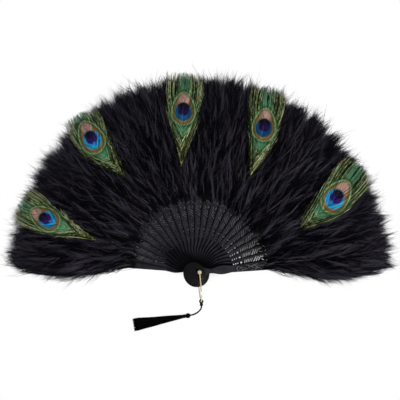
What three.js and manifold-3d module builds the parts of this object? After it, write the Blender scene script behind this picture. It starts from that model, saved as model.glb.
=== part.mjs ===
// A folding feather fan that lies open on a table: pierced black sticks on a leaning rivet, a soft plume
// on every stick, five peacock eye feathers, a wire bail and a tassel on a short cord.
// Millimetres, +Z up. The origin is the middle of the rivet's rear face, and the open fan points along +Y.
import * as THREE from "three";
import { mergeVertices } from "three/addons/utils/BufferGeometryUtils.js";
import Module from "manifold-3d";

const wasm = await Module();
wasm.setup();

// Counts and angles of the whole fan, in degrees
const leafCount = 25;
const leafPitchDeg = 7;
const frontGuardDeg = 5.5;
const rivetLeanDeg = 5;
const bailDeg = 275.5;
const tasselDeg = 189.6;

// Clearances and overruns
const runningGap = 0.3;
const restingGap = 0.3;
const seatGap = 0.9;
const joinOverrun = 0.2;
const weldTolerance = 0.00001;

// Sticks and guards
const stickThickness = 0.8;
const guardPlateThickness = 1.7;
const headRadius = 13.2;
const headOffset = 7.3;
const headNeckDeg = 30;
const waistReach = 14;
const waistWidth = 5.8;
const bulgeReach = 29;
const bulgeWidth = 11.2;
const collarReach = 41;
const collarWidth = 8.6;
const bladeReach = 96;
const bladeWidth = 12.4;
const shoulderLength = 2;
const ribWidth = 3;
const ribTipWidth = 1.6;
const ribReach = 175;

// Pierced pattern of an inner stick: dots, a diamond, then pairs of slanted slots to the blade's end
const patternMargin = 5;
const patternGap = 2.4;
const dotSpacing = 3;
const dotSize = 1.2;
const dotCount = 2;
const diamondLength = 4.6;
const diamondWidth = 2.6;
const spineWidth = 1.4;
const smallSlot = { width: 1.1, span: 2.2, slant: 2, spacing: 4 };
const smallSlotPairCount = 2;
const largeSlot = { width: 1.5, span: 3.2, slant: 4, spacing: 8 };

// Raised scrolls of a guard
const scrollMargin = 4;
const scrollSpacing = 9.6;
const scrollRadius = 3.6;
const scrollWidth = 1.3;
const scrollHeight = 0.5;
const scrollSweepDeg = 250;

// Rivet
const rivetRadius = 1.7;
const rivetNeckRadius = 1;
const rivetHeadRadius = 2.2;
const rivetHeadThickness = 0.8;

// Bail
const wireDiameter = 1.6;
const eyeWallWidth = 1.3;
const bailReach = 39;

// Plumes
const plumeReach = 252;
const plumeRootGap = 0.8;
const plumeSectorDeg = 6.8;
const plumeUpperHeight = 8.5;
const plumeLowerHeight = 6.5;
const plumeSagPower = 3;
const guardPlumeSpread = 32;
const plumeStationShares = [0, 0.11, 0.28, 0.46, 0.66, 0.82, 0.93, 1];
const plumeWidthShares = [1, 1, 1, 1, 1, 1, 0.9, 0.55];
const plumeHeightShares = [0.2, 0.5, 0.82, 1, 0.92, 0.66, 0.42, 0.16];
const guardSpreadShares = [0.16, 0.34, 0.7, 1, 0.98, 0.9, 0.5, 0.12];
const crownShares = [0, 0.5, 1];
const crownHeightShares = [1, 0.76, 0];

// Peacock eye feathers, from the right-hand end of the open fan
const eyeFeatherLength = 119;
const eyeFeatherWidth = 58;
const eyeFeatherThickness = 1.2;
const eyeFeatherPlaces = [
  { leaf: 3, rootOffsetDeg: -2.2, leanDeg: 15.3, rootShare: 0.535 },
  { leaf: 8, rootOffsetDeg: 0.2, leanDeg: 12.1, rootShare: 0.535 },
  { leaf: 13, rootOffsetDeg: 2.9, leanDeg: -11.8, rootShare: 0.545 },
  { leaf: 18, rootOffsetDeg: -3.4, leanDeg: 3.9, rootShare: 0.55 },
  { leaf: 22, rootOffsetDeg: 3.3, leanDeg: -5.6, rootShare: 0.54 },
];
const eyeFeatherStationShares = [0, 0.14, 0.32, 0.5, 0.66, 0.82, 0.94, 1];
const eyeFeatherWidthShares = [0.07, 0.3, 0.62, 0.92, 1, 0.86, 0.62, 0.42];
const eyeFeatherCrossShares = [-1, -0.5, 0, 0.5, 1];

// Tassel
const cordDiameter = 2;
const cordSides = 8;
const cordSteps = 12;
const tasselBallDiameter = 6.6;
const tasselNeckDiameter = 4;
const tasselBindingDiameter = 5;
const tasselBindingLength = 2.4;
const tasselBindingBevel = 0.6;
const tasselSkirtLength = 67;
const tasselEndWidth = 16.4;
const tasselEndThickness = 5;
const tasselSkirtShares = [0, 0.3, 0.65, 1];
const tasselSettleShare = 0.5;
const tasselBallPlace = { x: -11.9, y: -57.8 };
// The cord's route from the loop on the bail's bow down to the table and along to the tassel's ball
const cordRoute = [
  [5.3, -40.1, 17.9],
  [5.4, -42.5, 17.4],
  [5.4, -44.9, 15.5],
  [5.3, -46, 13.9],
  [5.2, -46.9, 12.2],
  [5, -47.6, 10.5],
  [4.7, -48.4, 8.7],
  [4.3, -49.2, 7],
  [3.9, -50, 5.4],
  [3.3, -50.9, 4],
  [2.6, -51.8, 2.8],
  [1, -53.4, 1.5],
  [-1.4, -55.1, 1.2],
  [-4.4, -56.4, 1.8],
  [-8.3, -57.2, 3.2],
];

// Facets
const headSteps = 12;
const edgeSteps = 8;
const roundSides = 12;
const boreSides = 8;
const wireSides = 6;
const wireSteps = 36;
const legSteps = 4;
const bowSteps = 14;
const scrollSteps = 8;
const loopSides = 6;
const loopSteps = 12;
const ballSteps = 6;
const skirtSides = 10;

// Colours
const charcoal = 0x26262a;
const nearBlack = 0x0e0d12;
const plumeBlack = 0x15131a;
const paleGold = 0xcdb878;
const peacockGreen = 0x4a5a22;

// Sizes worked out from the ones above
const layerPitch = stickThickness + runningGap;
const leafDepth = leafCount * stickThickness + (leafCount - 1) * runningGap;
const stackHalf = leafDepth / 2 + guardPlateThickness;
const wireRadius = wireDiameter / 2;
const bailHalf = stackHalf + runningGap + wireRadius;
const rivetHalf = bailHalf + wireRadius + runningGap + rivetHeadThickness;
const eyeInnerRadius = rivetNeckRadius + runningGap;
const eyeOuterRadius = eyeInnerRadius + eyeWallWidth;
const boreRadius = (rivetRadius + runningGap) / Math.cos(Math.PI / boreSides);
const shoulderReach = bladeReach + shoulderLength;
const plumeRoot = shoulderReach + plumeRootGap;
const plumeLength = plumeReach - plumeRoot;
const lean = THREE.MathUtils.degToRad(rivetLeanDeg);
const floorHeight = -rivetHeadRadius * Math.sin(lean);
const cordRadius = cordDiameter / 2;
const dotReach = collarReach + patternMargin;
const diamondReach = dotReach + (dotCount - 1) * dotSpacing + patternGap + diamondLength / 2;
const smallSlotReach = diamondReach + diamondLength / 2 + patternGap;
const smallSlotsEnd = smallSlotReach + smallSlotPairCount * smallSlot.spacing;
const largeSlotReach = smallSlotsEnd + patternGap;

const fan = new THREE.Group();
const leaning = new THREE.Group();
leaning.rotation.y = lean;
leaning.position.set(rivetHalf * Math.sin(lean), 0, rivetHalf * Math.cos(lean));
fan.add(leaning);

// Materials
function finish(color, roughness, metalness) {
  return new THREE.MeshStandardMaterial({ color, roughness, metalness });
}

// Solids for cutting and joining
function solidOf(geometry) {
  const bare = geometry.index ? geometry.toNonIndexed() : geometry.clone();
  bare.deleteAttribute("normal");
  bare.deleteAttribute("uv");
  const merged = mergeVertices(bare, weldTolerance);
  const vertProperties = new Float32Array(merged.attributes.position.array);
  const triVerts = new Uint32Array(merged.index.array);
  return new wasm.Manifold(new wasm.Mesh({ numProp: 3, vertProperties, triVerts }));
}

function geometryOf(solid) {
  const { vertProperties, triVerts } = solid.getMesh();
  const geometry = new THREE.BufferGeometry();
  geometry.setAttribute("position", new THREE.BufferAttribute(vertProperties, 3));
  geometry.setIndex(new THREE.BufferAttribute(triVerts, 1));
  geometry.computeVertexNormals();
  return geometry;
}

// A closed skin over rings of points that all have the same count, with flat ends
function loft(rings) {
  const count = rings[0].length;
  const positions = rings.flat().flatMap((p) => [p.x, p.y, p.z]);
  const faces = [];
  for (let ring = 0; ring + 1 < rings.length; ring += 1) {
    for (let i = 0; i < count; i += 1) {
      const a = ring * count + i;
      const b = ring * count + ((i + 1) % count);
      faces.push(a, b, b + count, a, b + count, a + count);
    }
  }
  const last = (rings.length - 1) * count;
  for (let i = 1; i + 1 < count; i += 1) {
    faces.push(0, i + 1, i, last, last + i, last + i + 1);
  }
  const geometry = new THREE.BufferGeometry();
  geometry.setAttribute("position", new THREE.Float32BufferAttribute(positions, 3));
  geometry.setIndex(faces);
  geometry.computeVertexNormals();
  return geometry;
}

function place(group, name, geometry, material) {
  const mesh = new THREE.Mesh(geometry, material);
  mesh.name = name;
  group.add(mesh);
  return mesh;
}

function twoDigits(number) {
  return String(number).padStart(2, "0");
}

// Leaves: the angle and the layer of each stick on the rivet
function leafDeg(leaf) {
  return frontGuardDeg + leaf * leafPitchDeg;
}

function layerHeight(deg) {
  const leaf = (deg - frontGuardDeg) / leafPitchDeg;
  return ((leafCount - 1) / 2 - leaf) * layerPitch;
}

// The upper edge of a stick from its round head to its blade's shoulder
function edgePoints() {
  const neck = THREE.MathUtils.degToRad(headNeckDeg);
  const headEnd = new THREE.Vector2(
    headRadius * Math.cos(neck) - headOffset,
    headRadius * Math.sin(neck),
  );
  const curve = new THREE.SplineCurve([
    headEnd,
    new THREE.Vector2(waistReach, waistWidth / 2),
    new THREE.Vector2(bulgeReach, bulgeWidth / 2),
    new THREE.Vector2(collarReach, collarWidth / 2),
  ]);
  return [...curve.getPoints(edgeSteps), new THREE.Vector2(bladeReach, bladeWidth / 2)];
}

function headPoints() {
  const neck = THREE.MathUtils.degToRad(headNeckDeg);
  const arc = new THREE.EllipseCurve(-headOffset, 0, headRadius, headRadius, neck, 2 * Math.PI - neck);
  return arc.getPoints(headSteps).slice(1, -1);
}

function mirrored(points) {
  return points.map((p) => new THREE.Vector2(p.x, -p.y));
}

// The outline of a stick, with its narrow rib or cut square at the shoulder
function stickShape(withRib) {
  const upper = edgePoints();
  upper.push(new THREE.Vector2(shoulderReach, ribWidth / 2));
  if (withRib) {
    upper.push(new THREE.Vector2(ribReach, ribTipWidth / 2));
  }
  const shape = new THREE.Shape([...headPoints(), ...mirrored(upper), ...upper.reverse()]);
  shape.holes.push(boreHole());
  return shape;
}

function boreHole() {
  const hole = new THREE.Path();
  for (let side = 0; side < boreSides; side += 1) {
    const turn = ((side + 0.5) * 2 * Math.PI) / boreSides;
    const point = [boreRadius * Math.cos(turn), boreRadius * Math.sin(turn)];
    side === 0 ? hole.moveTo(...point) : hole.lineTo(...point);
  }
  hole.closePath();
  return hole;
}

function fourSided(corners) {
  return new THREE.Shape(corners.map(([x, y]) => new THREE.Vector2(x, y)));
}

function rhombus(reach, length, width) {
  return fourSided([
    [reach - length / 2, 0],
    [reach, width / 2],
    [reach + length / 2, 0],
    [reach, -width / 2],
  ]);
}

function squareDot(reach, size) {
  const half = size / 2;
  return fourSided([
    [reach - half, -half],
    [reach + half, -half],
    [reach + half, half],
    [reach - half, half],
  ]);
}

// One slanted slot beside the spine, on the side given by sign
function slantedSlot(reach, { width, span, slant }, sign) {
  const inner = (sign * spineWidth) / 2;
  const outer = inner + sign * span;
  return fourSided([
    [reach, inner],
    [reach + width, inner],
    [reach + width + slant, outer],
    [reach + slant, outer],
  ]);
}

function slotPairs(start, end, slot) {
  const holes = [];
  for (let reach = start; reach + slot.width + slot.slant <= end; reach += slot.spacing) {
    holes.push(slantedSlot(reach, slot, 1), slantedSlot(reach, slot, -1));
  }
  return holes;
}

function piercedHoles() {
  const holes = [rhombus(diamondReach, diamondLength, diamondWidth)];
  for (let dot = 0; dot < dotCount; dot += 1) {
    holes.push(squareDot(dotReach + dot * dotSpacing, dotSize));
  }
  holes.push(...slotPairs(smallSlotReach, smallSlotsEnd, smallSlot));
  holes.push(...slotPairs(largeSlotReach, bladeReach - patternMargin, largeSlot));
  return holes;
}

function slab(shape, depth) {
  return new THREE.ExtrudeGeometry(shape, { depth, bevelEnabled: false, curveSegments: headSteps });
}

function innerStick() {
  const leaf = slab(stickShape(true), stickThickness).translate(0, 0, -stickThickness / 2);
  const cutDepth = stickThickness + 2 * joinOverrun;
  const cut = (solid, hole) =>
    solid.subtract(solidOf(slab(hole, cutDepth).translate(0, 0, -cutDepth / 2)));
  return geometryOf(piercedHoles().reduce(cut, solidOf(leaf)));
}

// A raised C-scroll, opening up or down the guard by turns
function scroll(reach, sign) {
  const sweep = THREE.MathUtils.degToRad(scrollSweepDeg);
  const middle = (sign * Math.PI) / 2;
  const outer = new THREE.EllipseCurve(
    reach, 0, scrollRadius, scrollRadius, middle - sweep / 2, middle + sweep / 2,
  );
  const innerRadius = scrollRadius - scrollWidth;
  const inner = new THREE.EllipseCurve(
    reach, 0, innerRadius, innerRadius, middle - sweep / 2, middle + sweep / 2,
  );
  const points = [...outer.getPoints(scrollSteps), ...inner.getPoints(scrollSteps).reverse()];
  return slab(new THREE.Shape(points), scrollHeight + joinOverrun);
}

// A guard: a stick's outline with a thick plate over its blade and scrolls on the plate's outer face
function guard() {
  const leaf = slab(stickShape(true), stickThickness).translate(0, 0, -stickThickness / 2);
  const plateDepth = stickThickness + guardPlateThickness;
  const plate = slab(stickShape(false), plateDepth).translate(0, 0, -stickThickness / 2);
  let solid = solidOf(leaf).add(solidOf(plate));
  const face = stickThickness / 2 + guardPlateThickness;
  const first = collarReach + scrollMargin + scrollRadius;
  const last = bladeReach - scrollMargin - scrollRadius;
  let sign = 1;
  for (let reach = first; reach <= last; reach += scrollSpacing) {
    const raised = scroll(reach, sign).translate(0, 0, face - joinOverrun);
    solid = solid.add(solidOf(raised));
    sign = -sign;
  }
  return geometryOf(solid);
}

// Plumes: the distance that each plume's middle sinks from its stick's plane to bring its tip to the table
function tipSink(deg) {
  const lower = plumeLowerHeight * plumeHeightShares.at(-1);
  const tipHeight = floorHeight + restingGap + lower;
  const across = plumeReach * Math.cos(THREE.MathUtils.degToRad(deg)) * Math.sin(lean);
  return layerHeight(deg) + rivetHalf - (tipHeight + across) / Math.cos(lean);
}

function sink(share, deg) {
  return tipSink(deg) * share ** plumeSagPower;
}

// The height of the plumes' crown over the rivet's middle plane, at any reach and angle
function crownHeight(reach, deg) {
  const share = THREE.MathUtils.clamp((reach - plumeRoot) / plumeLength, 0, 1);
  const next = Math.max(1, plumeStationShares.findIndex((s) => s >= share));
  const [from, to] = [plumeStationShares[next - 1], plumeStationShares[next]];
  const mix = (share - from) / (to - from);
  const crown = (i) => plumeUpperHeight * plumeHeightShares[i] - sink(plumeStationShares[i], deg);
  return layerHeight(deg) + crown(next - 1) * (1 - mix) + crown(next) * mix;
}

// One ring of a plume, across the stick: the crown, the near edge, the keel and the far edge in turn
function plumeRing(station, deg, lowSpread, highSpread) {
  const share = plumeStationShares[station];
  const x = plumeRoot + share * plumeLength;
  const middle = -sink(share, deg);
  const upper = plumeUpperHeight * plumeHeightShares[station];
  const lower = plumeLowerHeight * plumeHeightShares[station];
  const quarter = (side, height) => {
    const spread = side > 0 ? highSpread(station, x) : lowSpread(station, x);
    return crownShares.map((crownShare, i) => {
      const y = side * spread * crownShare;
      return new THREE.Vector3(x, y, middle + height * crownHeightShares[i]);
    });
  };
  const top = [...quarter(1, upper).reverse(), ...quarter(-1, upper).slice(1)];
  const bottom = [...quarter(-1, -lower).reverse(), ...quarter(1, -lower).slice(1)];
  return [...top, ...bottom.slice(1, -1)];
}

// The sleeve in a plume's root that the stick's rib lies in
function ribSleeve() {
  const width = ribWidth + 2 * runningGap;
  const depth = stickThickness + 2 * runningGap;
  const length = ribReach + runningGap - plumeRoot + joinOverrun;
  const box = new THREE.BoxGeometry(length, width, depth);
  return solidOf(box.translate(plumeRoot - joinOverrun + length / 2, 0, 0));
}

function plume(leaf) {
  const deg = leafDeg(leaf);
  const slope = Math.tan(THREE.MathUtils.degToRad(plumeSectorDeg / 2));
  const sector = (station, x) => x * slope * plumeWidthShares[station];
  const fringe = (station) => guardPlumeSpread * guardSpreadShares[station];
  const low = leaf === 0 ? fringe : sector;
  const high = leaf === leafCount - 1 ? fringe : sector;
  const rings = plumeStationShares.map((_, station) => plumeRing(station, deg, low, high));
  return geometryOf(solidOf(loft(rings)).subtract(ribSleeve()));
}

function buildLeaf(leaf) {
  const group = new THREE.Group();
  group.rotation.z = THREE.MathUtils.degToRad(leafDeg(leaf));
  group.position.z = layerHeight(leafDeg(leaf));
  leaning.add(group);
  const plastic = finish(charcoal, 0.55, 0);
  if (leaf === 0) {
    place(group, "front_guard", guard(), plastic);
  } else if (leaf === leafCount - 1) {
    place(group, "rear_guard", guard(), plastic).rotation.x = Math.PI;
  } else {
    place(group, `stick_${twoDigits(leaf)}`, innerStick(), plastic);
  }
  place(group, `plume_${twoDigits(leaf)}`, plume(leaf), finish(plumeBlack, 0.95, 0));
}

// A peacock eye feather: a thin sheet that lies over the plumes' crowns, seated near its own stick
function eyeFeather({ leaf, rootOffsetDeg, leanDeg, rootShare }) {
  const rootDeg = leafDeg(leaf) + rootOffsetDeg;
  const rootTurn = THREE.MathUtils.degToRad(rootDeg);
  const axisTurn = THREE.MathUtils.degToRad(rootDeg + leanDeg);
  const root = new THREE.Vector2(Math.cos(rootTurn), Math.sin(rootTurn));
  root.multiplyScalar(rootShare * plumeReach);
  const along = new THREE.Vector2(Math.cos(axisTurn), Math.sin(axisTurn));
  const across = new THREE.Vector2(-along.y, along.x);
  const rings = eyeFeatherStationShares.map((share, station) => {
    const half = (eyeFeatherWidth / 2) * eyeFeatherWidthShares[station];
    const lower = eyeFeatherCrossShares.map((crossShare) => {
      const p = root.clone().addScaledVector(along, share * eyeFeatherLength);
      p.addScaledVector(across, crossShare * half);
      const reach = Math.min(p.length(), plumeReach);
      const deg = THREE.MathUtils.radToDeg(Math.atan2(p.y, p.x));
      return new THREE.Vector3(p.x, p.y, crownHeight(reach, deg) + seatGap);
    });
    const upper = lower.map((p) => new THREE.Vector3(p.x, p.y, p.z + eyeFeatherThickness));
    return [...lower, ...upper.reverse()];
  });
  return loft(rings);
}

function buildEyeFeathers() {
  eyeFeatherPlaces.forEach((spot, i) => {
    const material = finish(peacockGreen, 0.6, 0.1);
    place(leaning, `peacock_feather_${i + 1}`, eyeFeather(spot), material);
  });
}

// Rivet: a stepped pin with a flat head outside each eye of the bail
function buildRivet() {
  const neckEnd = rivetHalf - rivetHeadThickness;
  const half = [
    [0, rivetHalf],
    [rivetHeadRadius, rivetHalf],
    [rivetHeadRadius, neckEnd],
    [rivetNeckRadius, neckEnd],
    [rivetNeckRadius, stackHalf],
    [rivetRadius, stackHalf],
  ];
  const lower = half.map(([r, w]) => new THREE.Vector2(r, -w));
  const upper = half.map(([r, w]) => new THREE.Vector2(r, w)).reverse();
  const geometry = new THREE.LatheGeometry([...lower, ...upper], roundSides);
  place(leaning, "rivet", geometry.rotateX(Math.PI / 2), finish(paleGold, 0.3, 1));
}

// Bail: a wire bow whose two legs end in eyes on the rivet's necks
function bailEye(side) {
  const profile = [
    [eyeInnerRadius, -wireRadius],
    [eyeOuterRadius, -wireRadius],
    [eyeOuterRadius, wireRadius],
    [eyeInnerRadius, wireRadius],
    [eyeInnerRadius, -wireRadius],
  ].map(([r, w]) => new THREE.Vector2(r, w));
  const ring = new THREE.LatheGeometry(profile, roundSides).rotateX(Math.PI / 2);
  return solidOf(ring.translate(0, 0, side * bailHalf));
}

function roundSection(radius, sides) {
  const points = [];
  for (let side = 0; side < sides; side += 1) {
    const turn = (side * 2 * Math.PI) / sides;
    points.push(new THREE.Vector2(radius * Math.cos(turn), radius * Math.sin(turn)));
  }
  return new THREE.Shape(points);
}

function tube(points, radius, sides, steps) {
  const extrudePath = new THREE.CatmullRomCurve3(points, false, "centripetal");
  return new THREE.ExtrudeGeometry(roundSection(radius, sides), { extrudePath, steps });
}

function bailWire() {
  const start = (eyeInnerRadius + eyeOuterRadius) / 2;
  const bowCentre = bailReach - wireRadius - bailHalf;
  const leg = [];
  for (let i = 0; i < legSteps; i += 1) {
    const x = THREE.MathUtils.lerp(start, bowCentre, i / legSteps);
    leg.push(new THREE.Vector3(x, 0, bailHalf));
  }
  const bow = [];
  for (let i = 0; i <= bowSteps; i += 1) {
    const turn = Math.PI / 2 - (i * Math.PI) / bowSteps;
    const x = bowCentre + bailHalf * Math.cos(turn);
    bow.push(new THREE.Vector3(x, 0, bailHalf * Math.sin(turn)));
  }
  const otherLeg = leg.map((p) => new THREE.Vector3(p.x, 0, -p.z)).reverse();
  return solidOf(tube([...leg, ...bow, ...otherLeg], wireRadius, wireSides, wireSteps));
}

function buildBail() {
  const solid = bailWire().add(bailEye(1)).add(bailEye(-1));
  const bail = place(leaning, "bail", geometryOf(solid), finish(paleGold, 0.3, 1));
  bail.rotation.z = THREE.MathUtils.degToRad(bailDeg);
}

// Tassel: a cord looped round the bow, a bound ball and a flared skirt that lies on the table
function bowPoint() {
  const turn = THREE.MathUtils.degToRad(bailDeg);
  const point = new THREE.Vector3(Math.cos(turn), Math.sin(turn), 0);
  leaning.updateMatrixWorld();
  return point.multiplyScalar(bailReach - wireRadius).applyMatrix4(leaning.matrixWorld);
}

function cordLoop() {
  const radius = wireRadius + runningGap + cordRadius;
  const ring = new THREE.TorusGeometry(radius, cordRadius, loopSides, loopSteps);
  ring.rotateY(lean);
  const centre = bowPoint();
  return ring.translate(centre.x, centre.y, centre.z);
}

function buildTassel() {
  const cloth = finish(nearBlack, 0.85, 0);
  const route = cordRoute.map((p) => new THREE.Vector3(...p));
  const cord = solidOf(tube(route, cordRadius, cordSides, cordSteps));
  place(fan, "tassel_cord", geometryOf(cord.add(solidOf(cordLoop()))), cloth);

  const turned = new THREE.Group();
  turned.rotation.z = THREE.MathUtils.degToRad(tasselDeg);
  const ballRadius = tasselBallDiameter / 2;
  const ballHeight = floorHeight + restingGap + ballRadius;
  turned.position.set(tasselBallPlace.x, tasselBallPlace.y, ballHeight);
  fan.add(turned);
  place(turned, "tassel_head", tasselHead(ballRadius), cloth);
  place(turned, "tassel_skirt", tasselSkirt(ballRadius, ballHeight), cloth);
}

function tasselHead(ballRadius) {
  const neckRadius = tasselNeckDiameter / 2;
  const bindRadius = tasselBindingDiameter / 2;
  const neck = Math.asin(neckRadius / ballRadius);
  const ball = new THREE.EllipseCurve(0, 0, ballRadius, ballRadius, -Math.PI / 2, Math.PI / 2 - neck);
  const points = ball.getPoints(ballSteps).map((p) => new THREE.Vector2(Math.abs(p.x), p.y));
  const top = ballRadius * Math.cos(neck);
  points.push(new THREE.Vector2(bindRadius, top + tasselBindingBevel));
  points.push(new THREE.Vector2(bindRadius, top + tasselBindingLength));
  points.push(new THREE.Vector2(0, top + tasselBindingLength));
  points[0].x = 0;
  return new THREE.LatheGeometry(points, roundSides).rotateZ(-Math.PI / 2);
}

function tasselSkirt(ballRadius, ballHeight) {
  const neck = Math.asin(tasselNeckDiameter / tasselBallDiameter);
  const start = ballRadius * Math.cos(neck) + tasselBindingLength + runningGap;
  const lowest = floorHeight + restingGap - ballHeight;
  const rings = tasselSkirtShares.map((share) => {
    const halfWidth = THREE.MathUtils.lerp(tasselNeckDiameter, tasselEndWidth, share) / 2;
    const halfDepth = THREE.MathUtils.lerp(tasselNeckDiameter, tasselEndThickness, share) / 2;
    const settled = Math.min(1, share / tasselSettleShare);
    const height = settled * (lowest + halfDepth);
    const ring = [];
    for (let side = 0; side < skirtSides; side += 1) {
      const turn = (side * 2 * Math.PI) / skirtSides;
      const y = halfWidth * Math.cos(turn);
      const z = height + halfDepth * Math.sin(turn);
      ring.push(new THREE.Vector3(start + share * tasselSkirtLength, y, z));
    }
    return ring;
  });
  return loft(rings);
}

for (let leaf = 0; leaf < leafCount; leaf += 1) {
  buildLeaf(leaf);
}
buildEyeFeathers();
buildRivet();
buildBail();
buildTassel();

export default fan;
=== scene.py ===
import math

import bmesh
import bpy
import numpy as np
from mathutils import Matrix, Vector


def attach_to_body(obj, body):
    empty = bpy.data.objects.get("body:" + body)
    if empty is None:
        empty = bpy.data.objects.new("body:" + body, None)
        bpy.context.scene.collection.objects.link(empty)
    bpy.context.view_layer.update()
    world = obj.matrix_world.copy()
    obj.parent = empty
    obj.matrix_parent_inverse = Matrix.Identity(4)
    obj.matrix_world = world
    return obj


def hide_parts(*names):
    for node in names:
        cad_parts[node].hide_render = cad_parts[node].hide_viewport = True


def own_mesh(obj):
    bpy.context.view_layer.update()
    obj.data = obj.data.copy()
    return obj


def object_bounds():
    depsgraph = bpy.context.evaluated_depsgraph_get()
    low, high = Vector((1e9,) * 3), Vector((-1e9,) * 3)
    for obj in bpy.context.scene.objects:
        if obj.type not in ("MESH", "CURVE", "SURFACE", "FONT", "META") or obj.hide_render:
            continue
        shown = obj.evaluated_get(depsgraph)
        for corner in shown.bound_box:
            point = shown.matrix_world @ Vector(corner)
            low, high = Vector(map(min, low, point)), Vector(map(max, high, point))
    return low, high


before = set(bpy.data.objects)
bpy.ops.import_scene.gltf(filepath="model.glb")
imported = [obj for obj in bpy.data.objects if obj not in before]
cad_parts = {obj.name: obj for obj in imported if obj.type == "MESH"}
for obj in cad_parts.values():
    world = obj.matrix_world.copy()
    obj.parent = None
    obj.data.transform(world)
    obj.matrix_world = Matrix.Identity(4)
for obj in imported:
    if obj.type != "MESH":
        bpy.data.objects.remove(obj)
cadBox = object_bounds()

mm = 0.001

# The open fan: its leaves turn about a leaning rivet and lie one on the other
fan = {
    "leaves": 25,
    "pitchDeg": 7.0,
    "firstDeg": 5.5,
    "leanDeg": 5.0,
    "layer": 1.1 * mm,
    "rivetHalf": 18.3 * mm,
    "stackHalf": 15.3 * mm,
    "reach": 252 * mm,
    "plumeRoot": 98.8 * mm,
    "upper": 8.5 * mm,
    "lower": 6.5 * mm,
    "tipHeight": 1.15 * mm,
    "stations": (0, 0.11, 0.28, 0.46, 0.66, 0.82, 0.93, 1),
    "heights": (0.2, 0.5, 0.82, 1, 0.92, 0.66, 0.42, 0.16),
}
lean = math.radians(fan["leanDeg"])
foldAxis = Vector((math.sin(lean), 0, math.cos(lean)))
fanPlace = Matrix.Translation(foldAxis * fan["rivetHalf"]) @ Matrix.Rotation(lean, 4, "Y")


def leafDeg(leaf):
    return fan["firstDeg"] + leaf * fan["pitchDeg"]


def layerHeight(deg):
    leaf = (deg - fan["firstDeg"]) / fan["pitchDeg"]
    return ((fan["leaves"] - 1) / 2 - leaf) * fan["layer"]


def leafPlace(leaf):
    turn = Matrix.Rotation(math.radians(leafDeg(leaf)), 4, "Z")
    return fanPlace @ Matrix.Translation((0, 0, layerHeight(leafDeg(leaf)))) @ turn


def tipSink(deg):  # how far a plume's tip drops from its stick's plane to reach the table
    across = fan["reach"] * np.cos(np.radians(deg)) * math.sin(lean)
    return layerHeight(deg) + fan["rivetHalf"] - (fan["tipHeight"] + across) / math.cos(lean)


def sagAt(share, deg):
    return tipSink(deg) * share ** 3


def reachShare(reach):
    return np.clip((reach - fan["plumeRoot"]) / (fan["reach"] - fan["plumeRoot"]), 0, 1)


def crownAt(share):
    return fan["upper"] * np.interp(share, fan["stations"], fan["heights"])


def keelAt(share):
    return fan["lower"] * np.interp(share, fan["stations"], fan["heights"])


# Small helpers round bpy.ops
def deselectAll():
    if bpy.context.mode != "OBJECT":
        bpy.ops.object.mode_set(mode="OBJECT")
    bpy.ops.object.select_all(action="DESELECT")


def selectOnly(*objs):
    deselectAll()
    for obj in objs:
        obj.select_set(True)
    bpy.context.view_layer.objects.active = objs[0]


def applyPlace(obj):
    selectOnly(obj)
    bpy.ops.object.transform_apply(location=True, rotation=True, scale=True)


def applyModifiers(obj):
    selectOnly(obj)
    for modifier in list(obj.modifiers):
        bpy.ops.object.modifier_apply(modifier=modifier.name)


def joinInto(obj, *others):
    selectOnly(obj, *others)
    bpy.ops.object.join()
    return obj


def copyOf(obj, name):
    copied = obj.copy()
    copied.data = obj.data.copy()
    copied.name = name
    copied.data.name = name
    bpy.context.scene.collection.objects.link(copied)
    return copied


def setPlace(obj, place):
    obj.data.transform(place)
    obj.data.update()


def addObject(name, data):
    obj = bpy.data.objects.new(name, data)
    bpy.context.scene.collection.objects.link(obj)
    return obj


def newCurve(name, radius, resolution):
    curve = bpy.data.curves.new(name, "CURVE")
    curve.dimensions = "3D"
    curve.bevel_depth = radius
    curve.bevel_resolution = resolution
    curve.use_fill_caps = True
    return curve


def addTorus(radius, thread, segments, sides, location=(0, 0, 0), rotation=(0, 0, 0)):
    deselectAll()
    bpy.ops.mesh.primitive_torus_add(
        major_radius=radius, minor_radius=thread, major_segments=segments, minor_segments=sides,
        location=location, rotation=rotation,
    )
    obj = bpy.context.object
    bpy.ops.object.shade_smooth()
    applyPlace(obj)
    return obj


def pointsOf(obj):
    points = np.empty(len(obj.data.vertices) * 3, np.float32)
    obj.data.vertices.foreach_get("co", points)
    return points.reshape(-1, 3)


def makeNormals(obj):
    selectOnly(obj)
    bpy.ops.object.mode_set(mode="EDIT")
    bpy.ops.mesh.select_all(action="SELECT")
    bpy.ops.mesh.remove_doubles(threshold=0.001 * mm)
    bpy.ops.mesh.normals_make_consistent(inside=False)
    bpy.ops.object.mode_set(mode="OBJECT")


def wear(obj, *materials):
    obj.data.materials.clear()
    for material in materials:
        obj.data.materials.append(material)


print("stage: camera")
camera = {"distance": 1.5, "aim": (3.6 * mm, 91.2 * mm, 18 * mm), "span": 510.2 * mm}


def makeCamera():
    data = bpy.data.cameras.new("camera")
    data.angle = 2 * math.atan(camera["span"] / 2 / camera["distance"])
    data.clip_start = 10 * mm
    obj = addObject("camera", data)
    x, y, z = camera["aim"]
    obj.location = (x, y, z + camera["distance"])
    bpy.context.scene.camera = obj


makeCamera()


print("stage: materials")
tintCells = 64  # columns of the strands' map, one for each tint

def newMaterial(name):
    material = bpy.data.materials.new(name)
    material.use_nodes = True
    nodes = material.node_tree.nodes
    return material, nodes, material.node_tree.links, nodes["Principled BSDF"]


def setSockets(shader, **values):
    for name, value in values.items():
        socket = shader.inputs[name.replace("_", " ")]
        socket.default_value = (*value, 1) if isinstance(value, tuple) else value


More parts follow.
